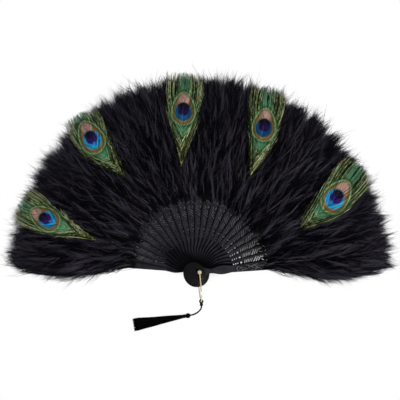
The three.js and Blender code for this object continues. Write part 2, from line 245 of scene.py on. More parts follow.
def newGroup(name, inputs, outputs):
    group = bpy.data.node_groups.new(name, "ShaderNodeTree")
    for socket, value in inputs.items():
        made = group.interface.new_socket(socket, in_out="INPUT", socket_type="NodeSocketFloat")
        made.default_value = value
    for socket in outputs:
        group.interface.new_socket(socket, in_out="OUTPUT", socket_type="NodeSocketFloat")
    return group, group.nodes.new("NodeGroupInput"), group.nodes.new("NodeGroupOutput")


def placeGroup(nodes, group, **values):
    node = nodes.new("ShaderNodeGroup")
    node.node_tree = group
    for name, value in values.items():
        node.inputs[name].default_value = value
    return node


def mathNode(nodes, links, operation, first, second=None, third=None):
    node = nodes.new("ShaderNodeMath")
    node.operation = operation
    for socket, value in zip(node.inputs, (first, second, third)):
        if value is None:
            continue
        if isinstance(value, (int, float)):
            socket.default_value = value
        else:
            links.new(value, socket)
    return node.outputs[0]


def ramp(nodes, links, factor, stops):
    node = nodes.new("ShaderNodeValToRGB")
    while len(node.color_ramp.elements) < len(stops):
        node.color_ramp.elements.new(1)
    for element, (place, color) in zip(node.color_ramp.elements, stops):
        element.position = place
        element.color = (*color, 1)
    links.new(factor, node.inputs[0])
    return node.outputs[0]


def mixColor(nodes, links, factor, first, second):
    node = nodes.new("ShaderNodeMix")
    node.data_type = "RGBA"
    for socket, value in ((node.inputs[0], factor), (node.inputs[6], first), (node.inputs[7], second)):
        if isinstance(value, tuple):
            socket.default_value = (*value, 1)
        elif isinstance(value, (int, float)):
            socket.default_value = value
        else:
            links.new(value, socket)
    return node.outputs[2]


def noise(nodes, links, vector, scale, detail=3.0):
    node = nodes.new("ShaderNodeTexNoise")
    node.inputs["Scale"].default_value = scale
    node.inputs["Detail"].default_value = detail
    links.new(vector, node.inputs["Vector"])
    return node.outputs["Fac"]


def attributeOf(nodes, name):
    node = nodes.new("ShaderNodeAttribute")
    node.attribute_name = name
    return node.outputs["Fac"]


# Fine grain of moulded plastic and drawn wire: a height for bump and a mask for small changes of tone
def makeGrainGroup():
    group, given, out = newGroup("fineGrain", {"Scale": 900.0, "Blotch": 60.0}, ("Height", "Mask"))
    nodes, links = group.nodes, group.links
    place = nodes.new("ShaderNodeTexCoord")
    for size, detail, result in (("Scale", 4.0, "Height"), ("Blotch", 2.0, "Mask")):
        grain = nodes.new("ShaderNodeTexNoise")
        grain.inputs["Detail"].default_value = detail
        links.new(place.outputs["Object"], grain.inputs["Vector"])
        links.new(given.outputs[size], grain.inputs["Scale"])
        links.new(grain.outputs["Fac"], out.inputs[result])
    return group


# Tone of a strand from its own map: u is the strand's tint and v runs from its root to its tip
def makeStrandGroup():
    group, given, out = newGroup("strandTone", {"Tints": tintCells, "Tip lift": 0.5}, ("Tone", "Along"))
    nodes, links = group.nodes, group.links
    place = nodes.new("ShaderNodeUVMap")
    place.uv_map = "OFBake"
    split = nodes.new("ShaderNodeSeparateXYZ")
    links.new(place.outputs["UV"], split.inputs[0])
    cell = mathNode(nodes, links, "MULTIPLY", split.outputs["X"], given.outputs["Tints"])
    cell = mathNode(nodes, links, "FLOOR", cell)
    tint = mathNode(nodes, links, "DIVIDE", cell, given.outputs["Tints"])
    lift = mathNode(nodes, links, "MULTIPLY", split.outputs["Y"], given.outputs["Tip lift"])
    tone = mathNode(nodes, links, "ADD", tint, lift)
    links.new(tone, out.inputs["Tone"])
    links.new(split.outputs["Y"], out.inputs["Along"])
    return group


grainGroup = makeGrainGroup()
strandGroup = makeStrandGroup()


def addBump(nodes, links, shader, height, strength, distance):
    bump = nodes.new("ShaderNodeBump")
    bump.inputs["Strength"].default_value = strength
    bump.inputs["Distance"].default_value = distance
    links.new(height, bump.inputs["Height"])
    links.new(bump.outputs["Normal"], shader.inputs["Normal"])


def openSky(nodes, links, distance, shares):  # zero in crevices and one where the sky is open
    sky = nodes.new("ShaderNodeAmbientOcclusion")
    sky.samples = 8
    sky.inputs["Distance"].default_value = distance
    spread = nodes.new("ShaderNodeMapRange")
    spread.inputs["From Min"].default_value, spread.inputs["From Max"].default_value = shares
    links.new(sky.outputs["AO"], spread.inputs["Value"])
    return spread.outputs["Result"]


plasticLook = {
    "sockets": {"Specular_IOR_Level": 0.13},
    "grain": {"Scale": 1400.0, "Blotch": 90.0},
    "tones": ((0.35, (0.0165, 0.016, 0.021)), (0.7, (0.030, 0.029, 0.037))),
    "roughness": (0.25, 0.38),  # what the grain adds, and the least
    "bump": (0.25, 0.1 * mm),
    "sky": (3.5 * mm, (0.87, 0.99)),  # how far the painted shade in creases reaches, and the open shares at which that painted shade is full black and at which the plastic is bare
    # painted shade: the black that creases and the steps between leaves are painted
    "paintedCreviceShade": (0.0003, 0.0003, 0.0004),
    "paintedHeadShade": (0.0055, 0.005, 0.0065),  # painted shade: the heads are painted darker than the blades
}
# painted highlight: the relief is a paler copy of the plastic, for the light its raised scrolls and beads
# catch; it also gets painted shade in its creases
reliefLook = {
    **plasticLook,
    "tones": ((0.35, (0.066, 0.058, 0.062)), (0.7, (0.155, 0.138, 0.144))),
    "sky": (1.5 * mm, (0.25, 0.8)),
}
wireLook = {
    "sockets": {"Metallic": 0.25},
    "grain": {"Scale": 2500.0, "Blotch": 220.0},
    "tones": ((0.3, (0.82, 0.67, 0.34)), (0.7, (1.0, 0.88, 0.62))),
    "roughness": (0.2, 0.14),
    "bump": (0.08, 0.05 * mm),
}
downTones = (
    (0.0, (0.0012, 0.001, 0.0022)), (0.45, (0.0036, 0.0031, 0.0063)),
    (0.75, (0.0145, 0.013, 0.021)), (1.0, (0.068, 0.062, 0.085)),
)
threadTones = ((0.0, (0.0004, 0.0004, 0.0005)), (0.8, (0.0016, 0.0016, 0.0019)), (1.0, (0.006, 0.006, 0.007)))


def makeGrained(name, look):
    material, nodes, links, shader = newMaterial(name)
    setSockets(shader, **look["sockets"])
    grain = placeGroup(nodes, grainGroup, **look["grain"])
    color = ramp(nodes, links, grain.outputs["Mask"], look["tones"])
    # painted shade: black mixed in where creases and steps are closed to the sky
    if "paintedCreviceShade" in look:
        sky = openSky(nodes, links, *look["sky"])
        color = mixColor(nodes, links, sky, look["paintedCreviceShade"], color)
        # painted shade: the heads are painted darker than the blades
        color = mixColor(nodes, links, attributeOf(nodes, "paintedHeadShade"), color, look["paintedHeadShade"])
    links.new(color, shader.inputs["Base Color"])
    rough = mathNode(nodes, links, "MULTIPLY_ADD", grain.outputs["Mask"], *look["roughness"])
    links.new(rough, shader.inputs["Roughness"])
    addBump(nodes, links, shader, grain.outputs["Height"], *look["bump"])
    return material


def makeStrandMaterial(name, tones, roughness):
    material, nodes, links, shader = newMaterial(name)
    setSockets(shader, Roughness=roughness, Specular_IOR_Level=0.06)
    color = ramp(nodes, links, placeGroup(nodes, strandGroup).outputs["Tone"], tones)
    links.new(color, shader.inputs["Base Color"])
    return material


plasticMaterial = makeGrained("mouldedPlastic", plasticLook)
reliefMaterial = makeGrained("reliefPaintedHighlight", reliefLook)
wireMaterial = makeGrained("goldWire", wireLook)
marabouMaterial = makeStrandMaterial("marabouDown", downTones, 0.75)
threadMaterial = makeStrandMaterial("tasselThread", threadTones, 0.5)


# Strands: thin tapered needles of three sides, all in one mesh, each with its tint in the map
def strandMesh(name, paths, radii, tints, flatness=0.6):
    count, stations, _ = paths.shape
    rings = stations - 1
    tangent = np.gradient(paths, axis=1)
    tangent /= np.maximum(np.linalg.norm(tangent, axis=2, keepdims=True), 1e-9)
    side = np.cross((0.0, 0.0, 1.0), tangent)
    side /= np.maximum(np.linalg.norm(side, axis=2, keepdims=True), 1e-9)
    above = np.cross(tangent, side)
    turns = np.radians((90, 210, 330))
    across = np.cos(turns)[None, None, :, None] * side[:, :rings, None, :]
    upward = flatness * np.sin(turns)[None, None, :, None] * above[:, :rings, None, :]
    ring = paths[:, :rings, None, :] + (across + upward) * radii[:, :rings, None, None]
    points = np.concatenate([ring.reshape(count, rings * 3, 3), paths[:, -1:, :]], axis=1)

    corners, uvs, sizes = [], [], []
    half = 0.4 / tintCells
    column = (-half, 0.0, half)
    height = np.linspace(0.02, 0.98, stations)
    for i in range(rings - 1):
        low, high = height[i], height[i + 1]
        for j in range(3):
            k = (j + 1) % 3
            corners += [i * 3 + j, i * 3 + k, (i + 1) * 3 + k, (i + 1) * 3 + j]
            uvs += [(column[j], low), (column[k], low), (column[k], high), (column[j], high)]
            sizes.append(4)
    last = (rings - 1) * 3
    for j in range(3):
        k = (j + 1) % 3
        corners += [last + j, last + k, rings * 3]
        uvs += [(column[j], height[rings - 1]), (column[k], height[rings - 1]), (0.0, height[rings])]
        sizes.append(3)
    corners += [2, 1, 0]
    uvs += [(column[2], height[0]), (0.0, 0.0), (column[0], height[0])]
    sizes.append(3)

    perStrand = rings * 3 + 1
    allCorners = (np.array(corners)[None, :] + perStrand * np.arange(count)[:, None]).ravel()
    starts = np.concatenate([[0], np.cumsum(sizes)[:-1]])
    allStarts = (starts[None, :] + len(corners) * np.arange(count)[:, None]).ravel()
    cell = (np.floor(np.clip(tints, 0, 0.999) * tintCells) + 0.5) / tintCells
    uv = np.array(uvs)[None, :, :] + np.stack([cell, np.zeros(count)], 1)[:, None, :]

    mesh = bpy.data.meshes.new(name)
    mesh.vertices.add(count * perStrand)
    mesh.vertices.foreach_set("co", points.astype(np.float32).ravel())
    mesh.loops.add(len(allCorners))
    mesh.loops.foreach_set("vertex_index", allCorners.astype(np.int32))
    mesh.polygons.add(len(allStarts))
    mesh.polygons.foreach_set("loop_start", allStarts.astype(np.int32))
    mesh.polygons.foreach_set("use_smooth", np.ones(len(allStarts), bool))
    mesh.update(calc_edges=True)
    layer = mesh.uv_layers.new(name="OFBake")
    layer.uv.foreach_set("vector", uv.astype(np.float32).ravel())
    return addObject(name, mesh)


print("stage: tassel cord")
cord = {
    "diameter": 2 * mm,
    "route": (  # from the loop on the bail's bow down to the table and along to the tassel's ball
        (5.3, -40.1, 17.9),
        (5.4, -42.5, 17.4),
        (5.4, -44.9, 15.5),
        (5.3, -46, 13.9),
        (5.2, -46.9, 12.2),
        (5, -47.6, 10.5),
        (4.7, -48.4, 8.7),
        (4.3, -49.2, 7),
        (3.9, -50, 5.4),
        (3.3, -50.9, 4),
        (2.6, -51.8, 2.8),
        (1, -53.4, 1.5),
        (-1.4, -55.1, 1.2),
        (-4.4, -56.4, 1.8),
        (-8.3, -57.2, 3.2),
    ),
    # on through ball and skirt
    "hiddenRun": ((-11.9, -57.8, 3.2), (-17.9, -58.8, 3.0), (-29.7, -60.8, 2.7)),
    "sockets": {"Roughness": 0.6, "Specular_IOR_Level": 0.08},
    "twist": {"Scale": 340.0, "Distortion": 1.2},
    "tones": ((0.1, (0.0005, 0.0005, 0.0006)), (0.9, (0.003, 0.003, 0.0036))),
    "bump": (0.6, 0.2 * mm),
    "loop": {"centre": (5.24, -38.02, 17.91), "radius": 1.9 * mm, "thread": 0.95 * mm},  # round the bow
    "wraps": (((5.35, -41.4, 17.6), 102), ((5.38, -42.8, 17.1), 115)),  # the knot's turns, in degrees
    "wrapRadius": 1.45 * mm,
    "wrapThread": 0.7 * mm,
}


def roundTube(name, points, radius):
    curve = newCurve(name, radius, 3)
    curve.resolution_u = 4
    spline = curve.splines.new("NURBS")
    spline.points.add(len(points) - 1)
    for point, place in zip(spline.points, points):
        point.co = (*(Vector(place) * mm), 1)
    spline.order_u = 3
    spline.use_endpoint_u = True
    return addObject(name, curve)


def makeCordMaterial():
    material, nodes, links, shader = newMaterial("twistedCord")
    setSockets(shader, **cord["sockets"])
    place = nodes.new("ShaderNodeTexCoord")
    wave = nodes.new("ShaderNodeTexWave")
    wave.bands_direction = "DIAGONAL"
    setSockets(wave, **cord["twist"])
    links.new(place.outputs["Object"], wave.inputs["Vector"])
    links.new(ramp(nodes, links, wave.outputs["Fac"], cord["tones"]), shader.inputs["Base Color"])
    addBump(nodes, links, shader, wave.outputs["Fac"], *cord["bump"])
    return material


cordMaterial = makeCordMaterial()
cordPiece = roundTube("tassel_thread_cord", [*cord["route"], *cord["hiddenRun"]], cord["diameter"] / 2)
cordPiece.data.materials.append(cordMaterial)


# Turned pieces: a filled circle, then ring after ring extruded and scaled along +Z
def turnedPiece(name, profile, sides, bevel=0.0):
    radius, height = profile[0]
    deselectAll()
    place = (0, 0, height)
    bpy.ops.mesh.primitive_circle_add(vertices=sides, radius=radius, fill_type="NGON", location=place)
    obj = bpy.context.object
    obj.name = obj.data.name = name
    applyPlace(obj)
    bpy.ops.object.mode_set(mode="EDIT")
    bpy.ops.mesh.select_all(action="SELECT")
    for nextRadius, nextHeight in profile[1:]:
        move = {"value": (0, 0, nextHeight - height)}
        bpy.ops.mesh.extrude_region_move(TRANSFORM_OT_translate=move)
        grow = nextRadius / radius
        bpy.ops.transform.resize(value=(grow, grow, 1), center_override=(0, 0, nextHeight))
        radius, height = nextRadius, nextHeight
    bpy.ops.object.mode_set(mode="OBJECT")
    makeNormals(obj)
    if bevel:
        bevelEdges(obj, bevel, 2)
    bpy.ops.object.shade_smooth_by_angle(angle=math.radians(40))
    return obj


def bevelEdges(obj, width, segments):
    modifier = obj.modifiers.new("bevel", "BEVEL")
    modifier.width = width
    modifier.segments = segments
    modifier.limit_method = "ANGLE"
    modifier.angle_limit = math.radians(40)
    applyModifiers(obj)


def subtract(obj, *cutters):
    for cutter in cutters:
        modifier = obj.modifiers.new("cut", "BOOLEAN")
        modifier.operation = "DIFFERENCE"
        modifier.solver = "EXACT"
        modifier.object = cutter
        applyModifiers(obj)
    selectOnly(*cutters)
    bpy.ops.object.delete()


print("stage: sticks and guards")
stick = {
    "thickness": 0.8 * mm,
    "headRadius": 13.2 * mm,
    "headOffset": 7.3 * mm,
    "headSides": 48,
    "headShares": ((60, 90, 120, 150, 170), (1, 0.95, 0.85, 0.75, 0.69)),  # at each leaf's angle
    "neckDeg": 30,
    "blade": (  # reach along the stick and half width there, in millimetres
        (8.5, 4.3), (11, 3.3), (14, 2.9), (17.5, 3.2), (21, 4.2), (25, 5.2), (29, 5.6),
        (33, 5.4), (37, 4.8), (41, 4.3), (47, 4.5), (96, 6.2), (98, 1.5),
    ),
    "rib": (175, 0.8),
    "boreRadius": 2.1 * mm,
    "edge": 0.3 * mm,
    "dots": {"start": 44.8 * mm, "size": 1.4 * mm, "spacing": 2.8 * mm, "count": 3},
    "diamond": {"reach": 54.7 * mm, "length": 3.2 * mm, "width": 2.8 * mm},
    "slots": (
        {
            "start": 58.2 * mm, "width": 0.7 * mm, "span": 3.8 * mm,
            "slant": 2 * mm, "spacing": 2.3 * mm, "count": 5,
        },
        {
            "start": 69.8 * mm, "width": 1.3 * mm, "span": 5.4 * mm,
            "slant": 4.4 * mm, "spacing": 3.1 * mm, "count": 3,
        },
    ),
    "rowSide": 0.5 * mm,  # the rows stand a little to the side that shows
    "leaves": (
        {"reach": 83.2 * mm, "side": 2.0 * mm, "length": 4.4 * mm, "width": 1.8 * mm, "turnDeg": 20},
        {"reach": 89.0 * mm, "side": 2.6 * mm, "length": 6.2 * mm, "width": 1.5 * mm, "turnDeg": -38},
    ),
    "cutDepth": 6 * mm,
    "headTrim": {"far": (3 * mm, 10 * mm), "along": (8 * mm, 2 * mm)},  # where the trim starts and is full
    "paintedHeadShadeEdge": 2.5 * mm,  # over which the heads' painted shade fades
}


def stickBlank(name, stations):
    deselectAll()
    start = -stick["headOffset"]
    radius = stick["headRadius"]
    bpy.ops.mesh.primitive_circle_add(
        vertices=stick["headSides"], radius=radius, fill_type="NGON", location=(start, 0, 0)
    )
    obj = bpy.context.object
    obj.name = obj.data.name = name
    applyPlace(obj)
    bpy.ops.object.mode_set(mode="EDIT")
    bpy.ops.mesh.select_mode(type="EDGE")
    bpy.ops.mesh.select_all(action="DESELECT")
    neck = start + radius * math.cos(math.radians(stick["neckDeg"])) - stick["edge"]
    form = bmesh.from_edit_mesh(obj.data)
    for edge in form.edges:
        if all(vert.co.x > neck for vert in edge.verts):
            edge.select_set(True)
    bmesh.update_edit_mesh(obj.data)
    reach = start + radius
    half = radius * math.sin(math.radians(stick["neckDeg"]))
    flatten = 0  # the first row straightens the head's arc
    for nextReach, nextHalf in stations:
        move = {"value": (nextReach * mm - reach, 0, 0)}
        bpy.ops.mesh.extrude_region_move(TRANSFORM_OT_translate=move)
        grow = nextHalf * mm / half
        bpy.ops.transform.resize(value=(flatten, grow, 1), center_override=(nextReach * mm, 0, 0))
        reach, half, flatten = nextReach * mm, nextHalf * mm, 1
    bpy.ops.object.mode_set(mode="OBJECT")
    return obj


def thicken(obj, thickness):  # to both sides
    modifier = obj.modifiers.new("thickness", "SOLIDIFY")
    modifier.thickness = thickness
    modifier.offset = 0
    applyModifiers(obj)
    makeNormals(obj)


def boxCutter(place, size):
    deselectAll()
    bpy.ops.mesh.primitive_cube_add(size=1, location=place, scale=(*size, stick["cutDepth"]))
    obj = bpy.context.object
    applyPlace(obj)
    return obj


def repeated(obj, spacing, count, mirrored):
    if count > 1:
        modifier = obj.modifiers.new("row", "ARRAY")
        modifier.count = count
        modifier.use_relative_offset = False
        modifier.use_constant_offset = True
        modifier.constant_offset_displace = (spacing, 0, 0)
    if mirrored:
        modifier = obj.modifiers.new("sides", "MIRROR")
        modifier.use_axis = (False, True, False)
        modifier.use_mirror_merge = False
    applyModifiers(obj)
    makeNormals(obj)
    return obj


def slantedCutter(slot):
    side = stick["rowSide"]
    obj = boxCutter((slot["start"] + slot["width"] / 2, side, 0), (slot["width"], slot["span"]))
    bpy.ops.object.mode_set(mode="EDIT")
    bpy.ops.mesh.select_all(action="DESELECT")
    form = bmesh.from_edit_mesh(obj.data)
    for vert in form.verts:
        vert.select_set(vert.co.y > side)
    form.select_flush_mode()
    bmesh.update_edit_mesh(obj.data)
    bpy.ops.transform.translate(value=(slot["slant"], 0, 0))
    bpy.ops.object.mode_set(mode="OBJECT")
    return repeated(obj, slot["spacing"], slot["count"], False)


def dotCutter(dot):
    obj = boxCutter((dot["start"], 0, 0), (dot["size"], dot["size"]))
    return repeated(obj, dot["spacing"], dot["count"], False)


def roundCutter(reach, side, length, width, sides, turnDeg=0.0):
    deselectAll()
    bpy.ops.mesh.primitive_cylinder_add(vertices=sides, radius=0.5, depth=1, location=(0, 0, 0))
    obj = bpy.context.object
    obj.scale = (length, width, stick["cutDepth"])
    applyPlace(obj)
    turn = Matrix.Rotation(math.radians(turnDeg), 4, "Z")
    setPlace(obj, Matrix.Translation((reach, side, 0)) @ turn)
    return repeated(obj, 0, 1, side > 0)


def boreCutter():
    bore = 2 * stick["boreRadius"]
    return roundCutter(0, 0, bore, bore, 24)


def makeStick():
    obj = stickBlank("stickPattern", (*stick["blade"], stick["rib"]))
    thicken(obj, stick["thickness"])
    subtract(
        obj,
        boreCutter(),
        dotCutter(stick["dots"]),
        roundCutter(side=0, sides=4, **stick["diamond"]),
        *(slantedCutter(slot) for slot in stick["slots"]),
        *(roundCutter(sides=10, **leaf) for leaf in stick["leaves"]),
    )
    bevelEdges(obj, stick["edge"], 2)
    bpy.ops.object.shade_smooth_by_angle(angle=math.radians(35))
    wear(obj, plasticMaterial)
    return obj


guard = {
    "plate": 1.7 * mm,
    "edge": 0.3 * mm,
    "scrolls": {
        "start": 47 * mm, "end": 91 * mm, "spacing": 6.3 * mm, "radius": 3.6 * mm, "wire": 0.8 * mm,
        "steps": 22, "turns": 1.1, "heading": (0.5, 0.35), "inward": 0.78, "thinning": 0.6,
        "smaller": 0.22, "lower": 2 * mm,  # by turns a full scroll, a smaller one and the smallest
    },
    "beads": {"length": 3.4 * mm, "size": 1.5 * mm, "height": 0.9 * mm},
    "beadPlaces": ((3.1 * mm, 25), (-1.4 * mm, -40)),  # to the side, and the turn in degrees
    "sunk": (0.02 * mm, 0.05 * mm),  # plate in leaf, and relief in plate
}


def scrollCurve(reach, i, sign):  # a tapering spiral that opens up or down the guard by turns
    scroll = guard["scrolls"]
    curve = newCurve("scroll", scroll["wire"], 1)
    spline = curve.splines.new("POLY")
    spline.points.add(scroll["steps"])
    small = 1 - scroll["smaller"] * (i % 3)
    first, more = scroll["heading"]
    for step, point in enumerate(spline.points):
        share = step / scroll["steps"]
        radius = scroll["radius"] * small * (1 - scroll["inward"] * share)
        turn = sign * (math.pi * (first + more * i) + share * scroll["turns"] * 2 * math.pi)
        side = radius * math.sin(turn) - sign * (1 - small) * scroll["lower"]
        point.co = (reach + radius * math.cos(turn), side, 0, 1)
        point.radius = 1.1 - scroll["thinning"] * share
    selectOnly(addObject("scroll", curve))
    bpy.ops.object.convert(target="MESH")
    return bpy.context.object


def bead(reach, side, turnDeg):
    deselectAll()
    bpy.ops.mesh.primitive_uv_sphere_add(segments=12, ring_count=8, radius=0.5, location=(0, 0, 0))
    obj = bpy.context.object
    obj.scale = (guard["beads"]["length"], guard["beads"]["size"], guard["beads"]["height"] * 2)
    applyPlace(obj)
    setPlace(obj, Matrix.Translation((reach, side, 0)) @ Matrix.Rotation(math.radians(turnDeg), 4, "Z"))
    return obj


def makeGuard():
    layers = []
    inLeaf, inPlate = guard["sunk"]
    plateRise = (stick["thickness"] + guard["plate"]) / 2 - inLeaf
    for name, stations, thickness, rise, edge, segments in (
        ("guardLeaf", (*stick["blade"], stick["rib"]), stick["thickness"], 0, stick["edge"], 1),
        ("guardPlate", stick["blade"], guard["plate"], plateRise, guard["edge"], 3),
    ):
        layer = stickBlank(name, stations)
        thicken(layer, thickness)
        setPlace(layer, Matrix.Translation((0, 0, rise)))
        subtract(layer, boreCutter())
        bevelEdges(layer, edge, segments)
        wear(layer, plasticMaterial)
        layers.append(layer)
    scrolls = guard["scrolls"]
    parts = []
    count = int((scrolls["end"] - scrolls["start"]) / scrolls["spacing"]) + 1
    for i in range(count):
        reach = scrolls["start"] + scrolls["spacing"] * i + scrolls["radius"]
        sign = 1 if i % 2 else -1
        parts.append(scrollCurve(reach, i, sign))
        for side, turnDeg in guard["beadPlaces"]:
            parts.append(bead(reach + scrolls["spacing"] / 2, sign * side, sign * turnDeg))
    relief = joinInto(*parts)
    wear(relief, reliefMaterial)
    setPlace(relief, Matrix.Translation((0, 0, stick["thickness"] / 2 + guard["plate"] - inPlate)))
    obj = joinInto(*layers, relief)
    bpy.ops.object.shade_smooth_by_angle(angle=math.radians(35))
    return obj


def trimHead(obj, leaf):  # the rear leaves' heads reach less far past the rivet than the front ones'
    share = np.interp(leafDeg(leaf), *stick["headShares"])
    trim = stick["headTrim"]
    for vertex in obj.data.vertices:
        rise = np.interp(math.hypot(vertex.co.x, vertex.co.y), trim["far"], (0, 1))
        rise *= np.interp(-vertex.co.x, [-place for place in trim["along"]], (0, 1))
        keep = 1 + (share - 1) * rise
        vertex.co.x, vertex.co.y = vertex.co.x * keep, vertex.co.y * keep


def markHead(obj):  # the mask of the heads' painted shade: one on the heads, fading out along the neck
    points = pointsOf(obj)
    far = np.hypot(points[:, 0] + stick["headOffset"], points[:, 1]) - stick["headRadius"]
    layer = obj.data.attributes.new("paintedHeadShade", "FLOAT", "POINT")
    layer.data.foreach_set("value", np.clip(1 - far / stick["paintedHeadShadeEdge"], 0, 1).astype(np.float32))


def layStick(master, name, node, body, leaf, turned=False):
    obj = copyOf(master, name)
    markHead(obj)
    trimHead(obj, leaf)
    flip = Matrix.Rotation(math.pi, 4, "X") if turned else Matrix.Identity(4)
    setPlace(obj, leafPlace(leaf) @ flip)
    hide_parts(node)
    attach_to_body(obj, body)


stickMaster = makeStick()
guardMaster = makeGuard()
lastLeaf = fan["leaves"] - 1
layStick(guardMaster, "carved_guard_front", "front_guard", "front_guard", 0)
layStick(guardMaster, "carved_guard_rear", "rear_guard", "rear_guard", lastLeaf, turned=True)
for leaf in range(1, lastLeaf):
    layStick(stickMaster, f"pierced_stick_{leaf:02d}", f"stick_{leaf:02d}", f"stick_{leaf:02d}", leaf)
for master in (stickMaster, guardMaster):
    bpy.data.objects.remove(master)


print("stage: rivet and bail")
rivet = {"radius": 1.7 * mm, "neck": 1.0 * mm, "head": 2.2 * mm, "headThickness": 0.8 * mm, "sides": 32}
bail = {
    "wire": 0.8 * mm,
    "half": 16.4 * mm,
    "reach": 39 * mm,
    "eyeInner": 1.3 * mm,
    "eyeOuter": 2.6 * mm,
    "deg": 275.5,
}


def makeRivet():
    far, neckEnd, shank = fan["rivetHalf"], fan["rivetHalf"] - rivet["headThickness"], fan["stackHalf"]
    profile = [(rivet["head"], far), (rivet["head"], neckEnd), (rivet["neck"], neckEnd)]
    profile += [(rivet["neck"], shank), (rivet["radius"], shank)]
    low = [(radius, -height) for radius, height in profile]
    obj = turnedPiece("brass_rivet", low + profile[::-1], rivet["sides"], 0.15 * mm)
    wear(obj, wireMaterial)
    setPlace(obj, fanPlace)
    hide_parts("rivet")
    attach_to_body(obj, "rear_guard")


def bailEye(side):
    inner, outer = bail["eyeInner"], bail["eyeOuter"]
    return addTorus((inner + outer) / 2, (outer - inner) / 2, 28, 12, (0, 0, side * bail["half"]))


def makeBail():
    start = (bail["eyeInner"] + bail["eyeOuter"]) / 2 + 0.2 * mm
    centre = bail["reach"] - bail["wire"] - bail["half"]
    legs = np.linspace(start, centre, 4)
    points = [(x, 0, bail["half"]) for x in legs]
    for turn in np.linspace(80, -80, 11):
        angle = math.radians(turn)
        points.append((centre + bail["half"] * math.cos(angle), 0, bail["half"] * math.sin(angle)))
    points += [(x, 0, -bail["half"]) for x in legs[::-1]]
    obj = roundTube("bailWire", [Vector(point) / mm for point in points], bail["wire"])
    selectOnly(obj)
    bpy.ops.object.convert(target="MESH")
    obj = joinInto(bpy.context.object, bailEye(1), bailEye(-1))
    obj.name = obj.data.name = "wire_bail"
    bpy.ops.object.shade_smooth_by_angle(angle=math.radians(40))
    wear(obj, wireMaterial)
    setPlace(obj, fanPlace @ Matrix.Rotation(math.radians(bail["deg"]), 4, "Z"))
    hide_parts("bail")
    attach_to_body(obj, "bail")


makeRivet()
makeBail()


print("stage: marabou plumes")
plume = {
    "halfDeg": 4.8,  # strands wander past the 3.4 degrees of their own sector
    # how far the down comes back over the blades, in millimetres at each angle
    "rootDown": ((5.5, 20, 40, 60, 80, 135, 155, 175), (17, 16, 13, 10, 7, 8, 16, 18)),
    "rootStray": 1.6 * mm,
    "attachEnd": 222 * mm,
    "freeMore": 2.4,
    "freeAngles": (16, 46),
    "width": 24 * mm,  # half width of one plume across its crown
    "fringe": 31 * mm,
    "fringeShares": (0.16, 0.34, 0.7, 1, 0.95, 0.68, 0.29, 0.07),
    "lying": (0.8 * mm, 1.2 * mm),  # the lowest strands' height over the table, and how far they pile up
    "overPlate": (2.4 * mm, 115 * mm, 20 * mm),  # the height over the guard's plate, its end and its fade
    "lockSpread": 2.5 * mm,
    "rootCrowd": (1.3, 0.85),  # how locks crowd to the quill, and the share of the half width they reach
    "edgeStray": (0.78, 1.12),
    "rise": 0.45,
    "lengthStray": (0.78, 1.04),
    "alike": {"level": 0.05, "curl": 0.3 * mm, "phase": 0.12, "tint": 0.07},  # spread within a lock
    "ripple": 0.4 * mm,
    "taper": (0.85, 2.2),
    "radiusStray": (0.55, 1.15),
    "tint": (1.4, 3.4, 0.75),
    "lightTint": (0.7, 1.0),
    "core": {
        "rings": 12, "sides": 14, "start": -2 * mm, "end": 0.76,
        "width": 0.7, "freeWidth": 0.55, "cap": 0.3,
    },
    # painted light: the right leaves' down is painted darker and the left leaves' paler, evening out how the
    # lamps light them
    "leafPaintedLight": ((5, 60, 120, 175), (-0.1, -0.07, -0.04, 0.06)),
    "rimPaintedLight": ((155 * mm, 225 * mm), (-0.32, 0.18)),  # painted light: the down's tone rises towards the rim, for the light that shows through its thin strands there
    "tips": (  # reach of each plume's longest wisps, in millimetres
        267, 268, 268, 264, 261, 264, 269, 273, 268, 268, 265, 268, 262,
        261, 266, 269, 264, 260, 257, 254, 257, 252, 252, 254, 255,
    ),
}
down = {  # the dense down, the loose wisps over it and the hairs at the rim
    "locks": (350, 84, 28),
    "strands": (7, 3, 4),
    "stations": (5, 7, 4),
    "spread": (0.75 * mm, 0.45 * mm, 0.9 * mm),  # half width of a lock at its root
    "gather": (0.5, 0.5, 0.2),  # the share of it that is gone at the lock's tip
    "crowd": (0.75, 0.7, 0.09),
    "angles": ((-6, 27), (-12, 44), (-10, 26)),  # from the quill, in degrees
    "length": ((24 * mm, 52 * mm), (24 * mm, 58 * mm), (28 * mm, 44 * mm)),
    "short": ((4 * mm, 23 * mm), (-2 * mm, 9 * mm), (-1 * mm, 8 * mm)),  # of the plume's longest tips
    "level": ((0.0, 1.0), (0.7, 1.05), (0.0, 1.0)),
    "under": (0.24, 0.1, 0.3),
    "highest": (1.0, 1.25, 1.0),
    "curl": (5.5 * mm, 6.5 * mm, 2.5 * mm),
    "radius": (0.30 * mm, 0.2 * mm, 0.21 * mm),
    "lightShare": (0.25, 0.5, 0.3),
    "seed": (7, 57, 107),
}
floorHeight = cadBox[0][2]


def freeSide(leaf, side):  # the outer side of the two guards' plumes
    return (side < 0 and leaf == 0) or (side > 0 and leaf == lastLeaf)


def plumeHalf(x, side, leaf):  # half width of a plume, wider on the free side of a guard's plume
    if not freeSide(leaf, side):
        return x * math.tan(math.radians(plume["halfDeg"]))
    return plume["fringe"] * np.interp(reachShare(x), fan["stations"], plume["fringeShares"])


def plumeHeight(x, lateral, level, deg):
    share = reachShare(x)
    cap = np.clip(1 - (lateral / 1.3) ** 2, 0.04, 1) ** 0.7
    lift = np.where(level >= 0, crownAt(share) * level, keelAt(share) * level)
    return lift * cap - sagAt(share, deg)


def toWorld(points, place):
    matrix = np.array(place)
    return points @ matrix[:3, :3].T + matrix[:3, 3]


def settle(points, rng):  # what would hang below the table lies on it
    above, pile = plume["lying"]
    lowest = floorHeight + above
    height = points[..., 2]
    lying = lowest + rng.random(height.shape) * pile
    points[..., 2] = np.where(height < lowest, np.minimum(lying, 2 * lowest - height), height)
    return points


def spreadOver(rng, locks, strands, spread):  # one number for each strand, near its lock's own
    return np.repeat(locks, strands) + rng.normal(0, spread, len(locks) * strands)


